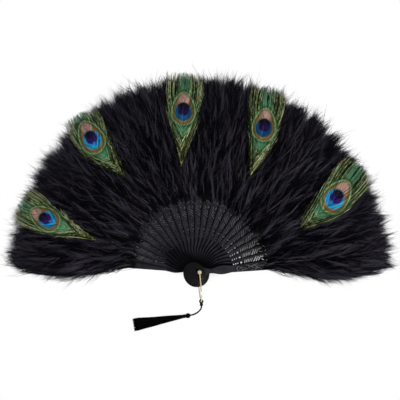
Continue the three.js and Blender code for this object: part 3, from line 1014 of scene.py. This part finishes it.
def growDown(rng, leaf, side, look):
    count, strands = look["locks"] // 2, look["strands"]
    if freeSide(leaf, side):
        count = int(count * plume["freeMore"])
    low = fan["plumeRoot"] - np.interp(leafDeg(leaf), *plume["rootDown"]) * mm
    low = low - rng.exponential(plume["rootStray"], count)
    attach = low + (plume["attachEnd"] - low) * rng.random(count) ** look["crowd"]
    length = rng.uniform(*look["length"], count)
    room = plume["tips"][leaf] * mm - rng.uniform(*look["short"], count) - attach
    length = np.minimum(length, room)
    free = freeSide(leaf, side)
    slope = np.tan(np.radians(rng.uniform(*(plume["freeAngles"] if free else look["angles"]), count)))
    crowd, most = plume["rootCrowd"]
    start = rng.random(count) ** crowd * most * plumeHalf(attach, side, leaf)
    if free:  # the open edge's barbs end in a row of tips
        edge = plumeHalf(attach + length, side, leaf) * rng.uniform(*plume["edgeStray"], count)
        slope = np.minimum(slope, np.maximum(edge - start, 0.5 * mm) / length)
    level = rng.uniform(*look["level"], count)
    level = np.where(rng.random(count) < look["under"], -np.abs(level), np.abs(level))
    rise = rng.uniform(0, plume["rise"], count)
    curl = rng.normal(0, look["curl"], count)
    phase = rng.uniform(0, 2 * math.pi, count)
    dark, light, scale = plume["tint"]
    # painted light: the down is painted paler towards the rim
    tint = rng.beta(dark, light, count) * scale + np.interp(attach + 0.6 * length, *plume["rimPaintedLight"])
    # painted light: the down's tone shifted by the leaf's angle
    tint = tint + np.interp(leafDeg(leaf), *plume["leafPaintedLight"])
    tint = np.where(rng.random(count) < look["lightShare"], rng.uniform(*plume["lightTint"], count), tint)

    total, alike = count * strands, plume["alike"]
    attach = spreadOver(rng, attach, strands, plume["lockSpread"])
    length = np.repeat(length, strands) * rng.uniform(*plume["lengthStray"], total)
    start, slope = np.repeat(start, strands), np.repeat(slope, strands)
    level = spreadOver(rng, level, strands, alike["level"])
    rise = np.repeat(rise, strands)
    curl = spreadOver(rng, curl, strands, alike["curl"])
    phase = spreadOver(rng, phase, strands, alike["phase"])
    spread = rng.normal(0, look["spread"], total)
    tint = np.clip(spreadOver(rng, tint, strands, alike["tint"]), 0, 1)

    along = np.linspace(0, 1, look["stations"])[None, :]
    x = attach[:, None] + length[:, None] * along
    y = side * (start[:, None] + slope[:, None] * length[:, None] * along)
    y = y + curl[:, None] * along ** 1.5 * np.sin(1.2 * along * math.pi + phase[:, None])
    y = y + spread[:, None] * (1 - look["gather"] * along)
    lateral = np.abs(y) / (plumeHalf(x, side, leaf) if free else plume["width"])
    height = level[:, None] + np.sign(level)[:, None] * rise[:, None] * along
    z = plumeHeight(x, lateral, np.clip(height, -1.05, look["highest"]), leafDeg(leaf))
    z = z + plume["ripple"] * np.sin(phase[:, None] * 3 + along * 5)
    if leaf == 0:
        over, end, fade = plume["overPlate"]
        z = z + over * np.clip((end - x) / fade, 0, 1)
    paths = settle(toWorld(np.stack([x, y, z], axis=2), leafPlace(leaf)), rng)
    thinning, power = plume["taper"]
    taper = look["radius"] * (1 - thinning * along ** power)
    radii = taper * rng.uniform(*plume["radiusStray"], total)[:, None]
    return paths, radii, tint


def plumeStrands(leaf, look):
    rng = np.random.default_rng(look["seed"] + leaf)
    sides = [growDown(rng, leaf, side, look) for side in (-1, 1)]
    paths, radii, tints = (np.concatenate(values) for values in zip(*sides))
    return strandMesh(f"marabou_{leaf:02d}", paths, radii, tints)


def plumeCore(leaf):  # the dense down round the quill, under the strands
    core = plume["core"]
    rings, sides = core["rings"], core["sides"]
    length = fan["reach"] - fan["plumeRoot"]
    x = fan["plumeRoot"] + core["start"] + np.linspace(0, core["end"], rings) * length
    points = np.zeros((rings, sides, 3))
    for i, turn in enumerate(np.linspace(0, 2 * math.pi, sides, endpoint=False)):
        side = 1 if math.sin(turn) >= 0 else -1
        lateral = abs(math.sin(turn)) * core["freeWidth" if freeSide(leaf, side) else "width"]
        level = np.full(rings, 0.5 * math.cos(turn))
        points[:, i, 0] = x
        points[:, i, 1] = side * lateral * plumeHalf(x, side, leaf)
        points[:, i, 2] = plumeHeight(x, np.full(rings, lateral), level, leafDeg(leaf))
    points[-1] = points[-1].mean(axis=0) + (points[-1] - points[-1].mean(axis=0)) * core["cap"]
    rng = np.random.default_rng(down["seed"][0])
    points = settle(toWorld(points.reshape(-1, 3), leafPlace(leaf)), rng)
    faces = [tuple(range(sides))[::-1], tuple((rings - 1) * sides + j for j in range(sides))]
    for i in range(rings - 1):
        low, high = i * sides, (i + 1) * sides
        faces += [(low + j, low + (j + 1) % sides, high + (j + 1) % sides, high + j) for j in range(sides)]
    mesh = bpy.data.meshes.new("core")
    mesh.from_pydata(points.tolist(), [], faces)
    layer = mesh.uv_layers.new(name="OFBake")
    for loop in mesh.loops:
        ring, place = divmod(loop.vertex_index, sides)
        layer.data[loop.index].uv = (0.002 + 0.012 * place / sides, 0.02 + 0.96 * ring / rings)
    return addObject("core", mesh)


def leafBody(leaf):
    return {0: "front_guard", lastLeaf: "rear_guard"}.get(leaf, f"stick_{leaf:02d}")


def flattenWithFold(obj):
    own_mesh(obj)


downLooks = [{key: values[i] for key, values in down.items()} for i in range(3)]
for leaf in range(fan["leaves"]):
    piece = joinInto(*(plumeStrands(leaf, look) for look in downLooks), plumeCore(leaf))
    wear(piece, marabouMaterial)
    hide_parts(f"plume_{leaf:02d}")
    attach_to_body(piece, leafBody(leaf))
    flattenWithFold(piece)


print("stage: peacock feathers")
eyeFeather = {
    "barbs": 150,
    "stations": 11,
    "firstBarb": -3 * mm,
    "lastBarb": 93 * mm,
    "runs": (  # where a barb leaves the rachis; its widest, where it ends along and across; its bow
        (-3, 27, 60, 27, 0.8), (4, 27, 78, 26.5, 0.95), (12, 26, 97, 25, 1.25), (20, 25, 113, 24, 1.6),
        (30, 23, 119, 22, 2.1), (40, 20, 121, 18.5, 2.7), (50, 16.5, 121, 14, 3.4),
        (60, 13.5, 121, 10, 3.6), (70, 10, 121, 6.5, 3.2), (80, 7, 121, 3.5, 2.6), (93, 2, 121, 1, 2),
    ),
    "runsEnd": 121,
    "barbRadius": 0.62 * mm,
    "looseRadius": 0.25 * mm,
    "lock": 2,
    "locks": ((3, 0.35), (11, 0.2)),  # barbs in a lock, and how far they draw together
    "eyeZone": (71 * mm, 24 * mm, 16 * mm),  # the close barbs round the eye: centre, half length, half width
    "loneReach": 26 * mm,  # barbs that leave the rachis below this stray and end at random
    "loneSpread": (-0.04, 0.11, 3),  # how their widths stray, in groups of three
    "loneShort": 0.4,
    "endStray": 0.8,
    "tipShort": 0.07,
    "looseAfter": 34 * mm,
    "wander": 0.5 * mm,
    "stray": (0.15 * mm, 0.35 * mm),  # of a barb's root and tip
    "arch": 0.8 * mm,
    "rachisRadius": 0.4 * mm,
    "seat": 1.3 * mm,
    "spread": 0.5 * mm,
    "map": (125 * mm, 62 * mm),  # the feather's plane in the map
    "mapStart": -5 * mm,
    "eyePlace": 67 * mm,
    "places": (  # leaf, the root's offset and the lean in degrees, the root's share of the reach, bend
        (3, -4.1, 15.7, 0.519, 12),
        (8, 0.2, 11.1, 0.535, 8),
        (13, 2.9, -11.8, 0.549, -2),
        (18, -4.2, 6.9, 0.589, -18),
        (22, 3.3, -4.5, 0.54, -9),
    ),
    "trims": (126, 123, 120, 107, 111),  # where the tips are cut, in millimetres along the rachis
    "paintedShines": (1.0, 0.14, 0.25, 1.1, 0.94),  # painted light: how brightly each feather's blue is painted, for how each catches the light
    "paintedGloss": (0.05, 0.04, 0.07, 0.06, 0.14),  # painted highlight: how far each feather's barbs are painted paler, for how glossy each looks in the light
    "pulls": (1.6, 1.1, 1.0, 1.4, 1.9),  # how strongly each feather's barbs draw together in locks
    "flares": (1.35, 0.9, 0.9, 0.95, 0.6),  # the lower, the later the lowest barbs leave the rachis
    # between which reaches each feather's root rises out of the down, and from how deep
    "sunk": ((7, 24, 4), (-3, 14, 1.6), (-3, 14, 1.4), (-3, 10, 0.7), (-3, 14, 1.6)),
    "bend": (40 * mm, 80 * mm),
    "eyeSizes": (1.13, 1, 1, 1.05, 0.97),
    "seed": 40,
}


def featherStrands(rng, trim, pullGain, flare):
    count, stations = eyeFeather["barbs"], eyeFeather["stations"]
    table = np.array(eyeFeather["runs"])
    along = np.linspace(0, 1, stations)[None, :]
    middle, halfLength, halfWidth = eyeFeather["eyeZone"]
    paths, radii, tints = [], [], []
    for side in (-1, 1):
        attach = np.linspace(eyeFeather["firstBarb"], eyeFeather["lastBarb"], count)
        attach = attach + rng.normal(0, eyeFeather["stray"][0], count)
        run = (np.interp(attach / mm, table[:, 0], column)[:, None] for column in table.T[1:])
        widest, endX, endY, bow = run
        cut = trim + rng.normal(0, eyeFeather["endStray"], count)[:, None]
        endX = np.minimum(endX * trim / eyeFeather["runsEnd"], cut)
        loners = np.clip(1 - attach / eyeFeather["loneReach"], 0, 1)[:, None]
        narrower, stray, size = eyeFeather["loneSpread"]
        strayed = rng.normal(narrower, stray, (count // size + 1, 1))[np.arange(count) // size]
        widest = widest * (1 + loners * strayed)
        endY = np.minimum(endY, widest)
        bow = bow * (1 + (flare - 1) * loners)
        reach = 1 - rng.random(count)[:, None] ** 3 * eyeFeather["tipShort"]
        reach = reach - loners * rng.random(count)[:, None] ** 1.5 * eyeFeather["loneShort"]
        x = attach[:, None] + (endX * mm - attach[:, None]) * along * reach
        y = (widest * (1 - (1 - along * reach) ** bow) - (widest - endY) * (along * reach) ** 3) * mm
        # outside the eye the barbs draw together in locks and leave gaps between them
        loose = np.clip((x - attach[:, None]) / eyeFeather["looseAfter"], 0, 1) ** 1.3
        inEye = np.hypot((x - middle) / halfLength, y / halfWidth) < 1
        lock, wander = np.arange(count) // eyeFeather["lock"], 0.0
        for size, pull in eyeFeather["locks"]:
            group = np.arange(count) // size
            draw = np.where(inEye, 0.1, min(pull * pullGain, 0.9)) * loose
            for values in (x, y):
                centre = np.stack([values[group == k].mean(axis=0) for k in range(group.max() + 1)])[group]
                values += (centre - values) * draw
            wander = wander + rng.normal(0, eyeFeather["wander"], group.max() + 1)[group]
        y = y + wander[:, None] * loose * np.where(inEye, 0.15, 1)
        y = y + rng.normal(0, eyeFeather["stray"][1], count)[:, None] * along ** 2
        height = rng.random(lock.max() + 1)[lock] + rng.random(count)
        height = height[:, None] * eyeFeather["spread"]
        arch = eyeFeather["arch"] * np.sin(along * math.pi * 0.6)
        z = height + arch + 0.15 * mm * np.sin(attach * 900)[:, None]
        paths.append(np.stack([x, side * y, z], axis=2))
        width = np.where(inEye, eyeFeather["barbRadius"], eyeFeather["looseRadius"])
        width = width * (1 - 0.6 * along ** 3) * rng.uniform(0.75, 1.2, count)[:, None]
        radii.append(width)
        tone = rng.beta(0.9, 1.3, lock.max() + 1)[lock] + (rng.random(count) - 0.5) * 0.35
        tints.append(np.clip(tone, 0, 1))
    quill = np.stack([
        np.linspace(-5, 90, stations) * mm, np.zeros(stations), np.linspace(0.5, 0.3, stations) * mm
    ], axis=1)
    paths.append(quill[None])
    radii.append((eyeFeather["rachisRadius"] * np.linspace(1, 0.2, stations))[None])
    tints.append(np.array([0.35]))
    return np.concatenate(paths), np.concatenate(radii), np.concatenate(tints)


def mapPlane(obj, width, height, eyeSize):
    points = pointsOf(obj)
    index = np.empty(len(obj.data.loops), np.int32)
    obj.data.loops.foreach_get("vertex_index", index)
    x = eyeFeather["eyePlace"] + (points[:, 0] - eyeFeather["eyePlace"]) / eyeSize
    x = (x - eyeFeather["mapStart"]) / width
    flat = np.stack([x, 0.5 + points[:, 1] / eyeSize / height], axis=1)[index]
    obj.data.uv_layers["OFBake"].uv.foreach_set("vector", np.clip(flat, 0, 1).astype(np.float32).ravel())


def addValue(obj, name, values):  # one value for each strand
    perStrand = len(obj.data.vertices) // len(values)
    layer = obj.data.attributes.new(name, "FLOAT", "POINT")
    layer.data.foreach_set("value", np.repeat(values, perStrand).astype(np.float32))


def bent(points, bendDeg):  # the rachis curves in its own plane between the root and the eye
    u = np.linspace(-10 * mm, 130 * mm, 281)
    share = np.interp(u, eyeFeather["bend"], (0, 1))
    heading = math.radians(bendDeg) * (3 * share ** 2 - 2 * share ** 3)
    step = u[1] - u[0]
    spineX = u[0] + np.concatenate([[0], np.cumsum(np.cos(heading[:-1]) * step)])
    spineY = np.concatenate([[0], np.cumsum(np.sin(heading[:-1]) * step)])
    turn = np.interp(points[:, 0], u, heading)
    x = np.interp(points[:, 0], u, spineX) - points[:, 1] * np.sin(turn)
    y = np.interp(points[:, 0], u, spineY) + points[:, 1] * np.cos(turn)
    return np.stack([x, y, points[:, 2]], axis=1)


# From the feather's own plane to the plumes' crown
def layFeather(obj, sunk, leaf, rootOffset, leanDeg, rootShare, bendDeg):
    points = pointsOf(obj).astype(float)
    along = points[:, 0].copy()
    points = bent(points, bendDeg)
    rootTurn = math.radians(leafDeg(leaf) + rootOffset)
    turn = rootTurn + math.radians(leanDeg)
    root = rootShare * fan["reach"]
    x = root * math.cos(rootTurn) + points[:, 0] * math.cos(turn) - points[:, 1] * math.sin(turn)
    y = root * math.sin(rootTurn) + points[:, 0] * math.sin(turn) + points[:, 1] * math.cos(turn)
    share = reachShare(np.hypot(x, y))
    deg = np.degrees(np.arctan2(y, x))
    seat = layerHeight(deg) + crownAt(share) - sagAt(share, deg) + eyeFeather["seat"]
    sinkFrom, sinkTo, depth = sunk
    seat = seat - depth * mm * np.interp(along / mm, (sinkFrom, sinkTo), (1, 0))
    laid = toWorld(np.stack([x, y, seat + points[:, 2]], axis=1), fanPlace)
    obj.data.vertices.foreach_set("co", laid.astype(np.float32).ravel())
    obj.data.update()


# A soft-edged ellipse on the feather's plane, in millimetres from the middle of the eye
def makeZoneGroup():
    given = {"X": 0.0, "Y": 0.0, "Centre": 0.0, "Along": 10.0, "Across": 10.0, "Soft": 0.1, "Taper": 0.0}
    group, inputs, out = newGroup("eyeZone", given, ("Mask",))
    nodes, links = group.nodes, group.links
    x = mathNode(nodes, links, "SUBTRACT", inputs.outputs["X"], inputs.outputs["Centre"])
    x = mathNode(nodes, links, "DIVIDE", x, inputs.outputs["Along"])
    y = mathNode(nodes, links, "DIVIDE", inputs.outputs["Y"], inputs.outputs["Across"])
    narrow = mathNode(nodes, links, "MULTIPLY_ADD", inputs.outputs["Taper"], x, 1.0)
    y = mathNode(nodes, links, "MULTIPLY", y, narrow)
    x = mathNode(nodes, links, "MULTIPLY", x, x)
    squares = mathNode(nodes, links, "MULTIPLY_ADD", y, y, x)
    far = mathNode(nodes, links, "SQRT", squares)
    far = mathNode(nodes, links, "SUBTRACT", far, 1.0)
    far = mathNode(nodes, links, "DIVIDE", far, inputs.outputs["Soft"])
    mask = nodes.new("ShaderNodeMapRange")
    mask.interpolation_type = "SMOOTHSTEP"
    for name, value in (("From Min", -1.0), ("From Max", 1.0), ("To Min", 1.0), ("To Max", 0.0)):
        mask.inputs[name].default_value = value
    links.new(far, mask.inputs["Value"])
    links.new(mask.outputs["Result"], out.inputs["Mask"])
    return group


zoneGroup = makeZoneGroup()
eyeLook = {
    "base": (
        (0.1, (0.003, 0.004, 0.002)), (0.42, (0.026, 0.034, 0.007)), (0.7, (0.15, 0.20, 0.042)),
        (0.86, (0.42, 0.52, 0.17)), (1.0, (0.90, 0.96, 0.58)),
    ),
    "field": (
        (0.1, (0.003, 0.006, 0.002)), (0.42, (0.024, 0.056, 0.013)), (0.7, (0.11, 0.21, 0.06)),
        (0.86, (0.30, 0.48, 0.18)), (1.0, (0.72, 0.90, 0.50)),
    ),
    "rust": ((0.2, (0.008, 0.003, 0.002)), (0.6, (0.13, 0.05, 0.016)), (1.0, (0.42, 0.22, 0.08))),
    "rings": (  # centre, half length, half width, softness, taper, dark colour, light colour
        (37.5, 14.0, 6.0, 0.8, 0.0, (0.006, 0.035, 0.015), (0.22, 0.60, 0.33)),
        (-19.0, 9.0, 7.0, 0.6, 0.0, (0.006, 0.05, 0.02), (0.20, 0.60, 0.32)),
        (4.4, 24.5, 16.6, 0.12, 0.25, (0.002, 0.016, 0.005), (0.07, 0.20, 0.07)),
        (4.4, 21.8, 14.8, 0.05, 0.25, (0.05, 0.10, 0.03), (0.62, 0.86, 0.42)),
        (4.3, 20.7, 13.7, 0.06, 0.25, (0.01, 0.022, 0.005), (0.13, 0.19, 0.05)),
        (2.6, 17.4, 11.4, 0.10, 0.2, (0.12, 0.05, 0.014), (0.48, 0.21, 0.06)),
        (16.8, 7.0, 6.6, 0.3, 0.3, (0.26, 0.13, 0.10), (0.72, 0.47, 0.38)),
    ),
    "pupil": (
        (0.0, 12.2, 10.9, 0.05, 0.0, (0.006, 0.07, 0.10), (0.05, 0.50, 0.62)),
        (0.1, 11.4, 10.1, 0.08, 0.0, (0.003, 0.028, 0.12), (0.03, 0.55, 1.0)),
        (3.1, 8.2, 7.2, 0.12, 0.1, (0.005, 0.002, 0.046), (0.030, 0.012, 0.22)),
        (7.6, 4.4, 7.0, 0.35, 0.0, (0.001, 0.0008, 0.005), (0.004, 0.002, 0.025)),
        (-6.5, 3.2, 2.2, 0.5, 0.0, (0.004, 0.04, 0.16), (0.04, 0.46, 1.0)),
    ),
    "blotch": (0.06, 0.006, 0.055),
    "warp": (22.0, 3.2, -2.2),  # a noise's scale, and how far it shifts the pattern along and across
    "dashes": (24.0, 60.0),
    "glitter": (4.0, -2.0, 0.7),
    "edge": (0.013, -0.1),  # paler away from the rachis
    "rootward": (0.006, 0.21),  # darker where the barbs leave the down
    "fieldZone": (6, 44, 21, 0.35, 0.0),
    "rustPatches": (16.0, 7.0, -4.0, 0.85),
    "calm": (0.5, 0.24),  # how much of the barbs' tone the eye keeps
    "blotchPatches": (30.0, 6.0, -3.2, 1.0),
    "blotchZone": (1.0, 6.0, 6.4, 0.3, 0.0),
}


def patches(nodes, links, vector, scale, gain, shift, most):
    value = mathNode(nodes, links, "MULTIPLY_ADD", noise(nodes, links, vector, scale, 1.0), gain, shift)
    return mathNode(nodes, links, "MINIMUM", mathNode(nodes, links, "MAXIMUM", value, 0.0), most)


def makeFeatherMaterial():
    material, nodes, links, shader = newMaterial("peacockBarbs")
    setSockets(shader, Roughness=0.5, Specular_IOR_Level=0.15)
    place = nodes.new("ShaderNodeUVMap")
    place.uv_map = "OFBake"
    split = nodes.new("ShaderNodeSeparateXYZ")
    links.new(place.outputs["UV"], split.inputs[0])
    width, height = (size / mm for size in eyeFeather["map"])
    start = (eyeFeather["mapStart"] - eyeFeather["eyePlace"]) / mm
    x = mathNode(nodes, links, "MULTIPLY_ADD", split.outputs["X"], width, start)
    y = mathNode(nodes, links, "MULTIPLY_ADD", split.outputs["Y"], height, -height / 2)
    warpScale, shiftX, shiftY = eyeLook["warp"]
    warp = noise(nodes, links, place.outputs["UV"], warpScale)
    warp = mathNode(nodes, links, "SUBTRACT", warp, 0.5)
    x = mathNode(nodes, links, "MULTIPLY_ADD", warp, shiftX, x)
    y = mathNode(nodes, links, "MULTIPLY_ADD", warp, shiftY, y)
    tint = attributeOf(nodes, "tint")
    dash = nodes.new("ShaderNodeCombineXYZ")  # barbules catch the light in short dashes along each barb
    for socket, value, times in zip("XY", (split.outputs["X"], tint), eyeLook["dashes"]):
        links.new(mathNode(nodes, links, "MULTIPLY", value, times), dash.inputs[socket])
    gain, shift, share = eyeLook["glitter"]
    glitter = noise(nodes, links, dash.outputs["Vector"], 1.0, 2.0)
    glitter = mathNode(nodes, links, "MULTIPLY_ADD", glitter, gain, shift)
    tone = mathNode(nodes, links, "MULTIPLY_ADD", glitter, share, tint)
    edge = mathNode(nodes, links, "ABSOLUTE", y)
    lifted = mathNode(nodes, links, "MULTIPLY_ADD", edge, *eyeLook["edge"])
    lifted = mathNode(nodes, links, "ADD", tone, lifted)
    rootward = mathNode(nodes, links, "MULTIPLY_ADD", x, *eyeLook["rootward"])
    lifted = mathNode(nodes, links, "ADD", lifted, mathNode(nodes, links, "MINIMUM", rootward, 0.0))
    color = ramp(nodes, links, lifted, eyeLook["base"])

    def zoneMask(centre, along, across, soft, taper):
        zone = placeGroup(nodes, zoneGroup, Centre=centre, Along=along, Across=across, Soft=soft, Taper=taper)
        links.new(x, zone.inputs["X"])
        links.new(y, zone.inputs["Y"])
        return zone.outputs["Mask"]

    field = ramp(nodes, links, tone, eyeLook["field"])
    color = mixColor(nodes, links, zoneMask(*eyeLook["fieldZone"]), color, field)
    rusty = patches(nodes, links, place.outputs["UV"], *eyeLook["rustPatches"])
    color = mixColor(nodes, links, rusty, color, ramp(nodes, links, tone, eyeLook["rust"]))
    calm = mathNode(nodes, links, "MULTIPLY_ADD", tone, *eyeLook["calm"])
    # painted light: the pupil's blues scaled by each feather's painted shine
    bright = mathNode(nodes, links, "MULTIPLY", calm, attributeOf(nodes, "paintedShine"))
    for given, zones in ((calm, eyeLook["rings"]), (bright, eyeLook["pupil"])):
        for *zone, dark, light in zones:
            shade = ramp(nodes, links, given, ((0.0, dark), (0.9, light)))
            color = mixColor(nodes, links, zoneMask(*zone), color, shade)
    spots = patches(nodes, links, place.outputs["UV"], *eyeLook["blotchPatches"])
    spots = mathNode(nodes, links, "MULTIPLY", spots, zoneMask(*eyeLook["blotchZone"]))
    color = mixColor(nodes, links, spots, color, eyeLook["blotch"])
    links.new(color, shader.inputs["Base Color"])
    return material


featherMaterial = makeFeatherMaterial()
for i, spot in enumerate(eyeFeather["places"]):
    rng = np.random.default_rng(eyeFeather["seed"] + i)
    paths, radii, tints = featherStrands(rng, *(eyeFeather[key][i] for key in ("trims", "pulls", "flares")))
    # painted highlight: each feather's barbs lifted paler
    tints = np.clip(tints + eyeFeather["paintedGloss"][i], 0, 1.2)
    piece = strandMesh(f"eye_feather_{i + 1}", paths, radii, tints, flatness=0.22)
    addValue(piece, "tint", tints)
    # painted light: each feather's brightness of blue
    addValue(piece, "paintedShine", np.full(len(tints), eyeFeather["paintedShines"][i]))
    mapPlane(piece, *eyeFeather["map"], eyeFeather["eyeSizes"][i])
    layFeather(piece, eyeFeather["sunk"][i], *spot)
    wear(piece, featherMaterial)
    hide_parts(f"peacock_feather_{i + 1}")
    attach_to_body(piece, leafBody(spot[0]))
    flattenWithFold(piece)


print("stage: tassel")
tassel = {
    "turnDeg": 189.6,
    "ball": (-11.9 * mm, -57.8 * mm, 3.1 * mm),
    "ballRadius": 3.1 * mm,
    "neckRadius": 1.75 * mm,
    "bindingStart": 2.7 * mm,
    "bindingTurns": 6,
    "thread": 0.42 * mm,
    "yarns": 34,
    "skirtStart": 3.4 * mm,
    "skirtLength": 68.5 * mm,
    "endHalf": (8.2 * mm, 2.4 * mm),
    "settled": 0.5,  # the share of its length after which it lies on the table
    "strands": 520,
    "strandRadius": 0.26 * mm,
    "wave": 0.35 * mm,
    "longer": (0.015, 1.6 * mm),  # the share of stray longer threads
    "shorter": 0.008,
    "yarnStations": 12,
    "layDeg": (87, 4),  # how the binding's turns lie
    "seed": 90,
}
tasselPlace = Matrix.Translation(tassel["ball"]) @ Matrix.Rotation(math.radians(tassel["turnDeg"]), 4, "Z")


def makeHead():
    radius, neck = tassel["ballRadius"], tassel["neckRadius"]
    last = math.asin(neck / radius)
    turns = np.linspace(math.radians(168), last, 9)
    profile = [(radius * math.sin(turn) * 0.94, radius * math.cos(turn) * 0.94) for turn in turns]
    profile.append((neck, tassel["bindingStart"] + 2 * tassel["thread"] * tassel["bindingTurns"]))
    ball = turnedPiece("ball", profile, 20)
    setPlace(ball, Matrix.Rotation(math.radians(90), 4, "Y"))
    parts = []
    thread, lay = tassel["thread"], (0, *(math.radians(deg) for deg in tassel["layDeg"]))
    for i in range(tassel["bindingTurns"]):
        place = (tassel["bindingStart"] + thread * (2 * i + 1), 0, 0)
        parts.append(addTorus(neck + thread * 0.7, thread, 28, 8, place, lay))
    stations = tassel["yarnStations"]
    along = np.linspace(math.radians(172), last * 0.9, stations)
    around = np.linspace(0, 2 * math.pi, tassel["yarns"], endpoint=False)
    shell = radius * 0.97
    x = np.broadcast_to(shell * np.cos(along), (tassel["yarns"], stations))
    y = shell * np.sin(along)[None, :] * np.cos(around)[:, None]
    z = shell * np.sin(along)[None, :] * np.sin(around)[:, None]
    radii = np.broadcast_to(thread * (0.45 + 0.4 * np.sin(along)), x.shape)
    tints = np.full(tassel["yarns"], 0.3)
    yarns = strandMesh("yarns", np.stack([x, y, z], axis=2), radii, tints, flatness=1.0)
    head = joinInto(ball, yarns, *parts)
    for layer in list(head.data.uv_layers):
        head.data.uv_layers.remove(layer)
    head.name = head.data.name = "tassel_ball"
    setPlace(head, tasselPlace)
    wear(head, cordMaterial)
    return head


def makeSkirt():
    rng = np.random.default_rng(tassel["seed"])
    count, stations = tassel["strands"], 13
    share = np.linspace(0, 1, stations)[None, :]
    radius = np.sqrt(rng.random(count))
    radius = np.where(np.arange(count) % 3 == 0, 0.97, radius)[:, None]
    turn = rng.uniform(0, 2 * math.pi, count)[:, None]
    length = tassel["skirtLength"] * (1 - np.abs(rng.normal(0, tassel["shorter"], count)))[:, None]
    odd, longer = tassel["longer"]
    length = length + (rng.random(count)[:, None] < odd) * longer
    endHalf, endDepth = tassel["endHalf"]
    spread = share ** 0.92
    halfWidth = tassel["neckRadius"] + (endHalf - tassel["neckRadius"]) * spread
    halfDepth = tassel["neckRadius"] + (endDepth - tassel["neckRadius"]) * spread
    lowest = floorHeight - tassel["ball"][2] + tassel["strandRadius"] + 0.1 * mm
    middle = np.minimum(1, share / tassel["settled"]) * (lowest + endDepth)
    wave = rng.normal(0, tassel["wave"], count)[:, None] * np.sin(share * rng.uniform(3, 9, count)[:, None])
    x = tassel["skirtStart"] + length * share
    y = halfWidth * radius * np.cos(turn) + wave * share
    z = np.maximum(middle + halfDepth * radius * np.sin(turn) + 0.5 * wave * share, lowest)
    tints = np.clip(rng.beta(1.5, 4, count), 0, 1)
    radii = np.broadcast_to(tassel["strandRadius"] * (1 - 0.1 * share), (count, stations))
    obj = strandMesh("tassel_threads", np.stack([x, y, z], axis=2), radii, tints, flatness=1.0)
    setPlace(obj, tasselPlace)
    wear(obj, threadMaterial)
    return obj


def cordRing(radius, thread, place, turn):
    obj = addTorus(radius, thread, 32, 10)
    setPlace(obj, Matrix.Translation(Vector(place) * mm) @ turn)
    return obj


def makeLoop():
    loop = cord["loop"]
    rings = [cordRing(loop["radius"], loop["thread"], loop["centre"], Matrix.Rotation(lean, 4, "Y"))]
    for place, deg in cord["wraps"]:
        turn = Matrix.Rotation(math.radians(deg), 4, "X")
        rings.append(cordRing(cord["wrapRadius"], cord["wrapThread"], place, turn))
    obj = joinInto(*rings)
    obj.name = obj.data.name = "tassel_cord_loop"
    wear(obj, cordMaterial)
    return obj


headPiece, skirtPiece, loopPiece = makeHead(), makeSkirt(), makeLoop()
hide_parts("tassel_cord")
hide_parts("tassel_head")
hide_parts("tassel_skirt")
for piece in (cordPiece, headPiece, skirtPiece, loopPiece):
    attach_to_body(piece, "tassel")


print("stage: floor and lights")
studio = {
    "floor": 3.0,
    "openSky": 70 * mm,  # the floor glows white where the sky over it is open, and is dark under the fan
    "openShares": (0.275, 0.43),
    "worldLight": 0.1,
    "lightAim": (0, 0.1, 0),
    "lights": (  # place, size, power, colour
        ((0.95, -0.8, 0.75), 0.35, 22.0, (1.0, 0.99, 0.98)),
        ((-1.0, 0.9, 0.9), 0.45, 9.0, (0.97, 0.98, 1.0)),
    ),
}


def seenRays(nodes, links):  # one where a ray comes from the camera or off a gloss
    path = nodes.new("ShaderNodeLightPath")
    seen = mathNode(nodes, links, "MAXIMUM", path.outputs["Is Camera Ray"], path.outputs["Is Glossy Ray"])
    return mathNode(nodes, links, "MAXIMUM", seen, path.outputs["Is Transmission Ray"])


def makeFloor():
    deselectAll()
    bpy.ops.mesh.primitive_plane_add(size=studio["floor"], location=(0, 0, floorHeight))
    obj = bpy.context.object
    obj.name = obj.data.name = "studio_floor"
    material, nodes, links, shader = newMaterial("studioFloor")
    setSockets(shader, Base_Color=(0.35, 0.35, 0.36), Roughness=0.9, Specular_IOR_Level=0.1)
    glow = nodes.new("ShaderNodeEmission")
    mix = nodes.new("ShaderNodeMixShader")
    sky = openSky(nodes, links, studio["openSky"], studio["openShares"])
    amount = mathNode(nodes, links, "MULTIPLY", seenRays(nodes, links), sky)
    links.new(amount, mix.inputs[0])
    links.new(shader.outputs[0], mix.inputs[1])
    links.new(glow.outputs[0], mix.inputs[2])
    links.new(mix.outputs[0], nodes["Material Output"].inputs["Surface"])
    wear(obj, material)


def makeWorld():
    world = bpy.data.worlds.new("studio")
    bpy.context.scene.world = world
    world.use_nodes = True
    nodes, links = world.node_tree.nodes, world.node_tree.links
    backdrop = nodes["Background"]
    backdrop.inputs["Color"].default_value = (1, 1, 1, 1)
    seen = nodes.new("ShaderNodeLightPath").outputs["Is Camera Ray"]
    power = mathNode(nodes, links, "MULTIPLY_ADD", seen, 1 - studio["worldLight"], studio["worldLight"])
    links.new(power, backdrop.inputs["Strength"])


def makeLights():
    for i, (place, size, power, color) in enumerate(studio["lights"]):
        data = bpy.data.lights.new(f"softbox_{i}", "AREA")
        data.shape = "SQUARE"
        data.size = size
        data.energy = power
        data.color = color
        obj = addObject(f"softbox_{i}", data)
        obj.location = place
        aim = Vector(studio["lightAim"]) - Vector(place)
        obj.rotation_euler = aim.to_track_quat("-Z", "Y").to_euler()


makeFloor()
makeWorld()
makeLights()
bpy.context.scene.view_settings.view_transform = "Standard"
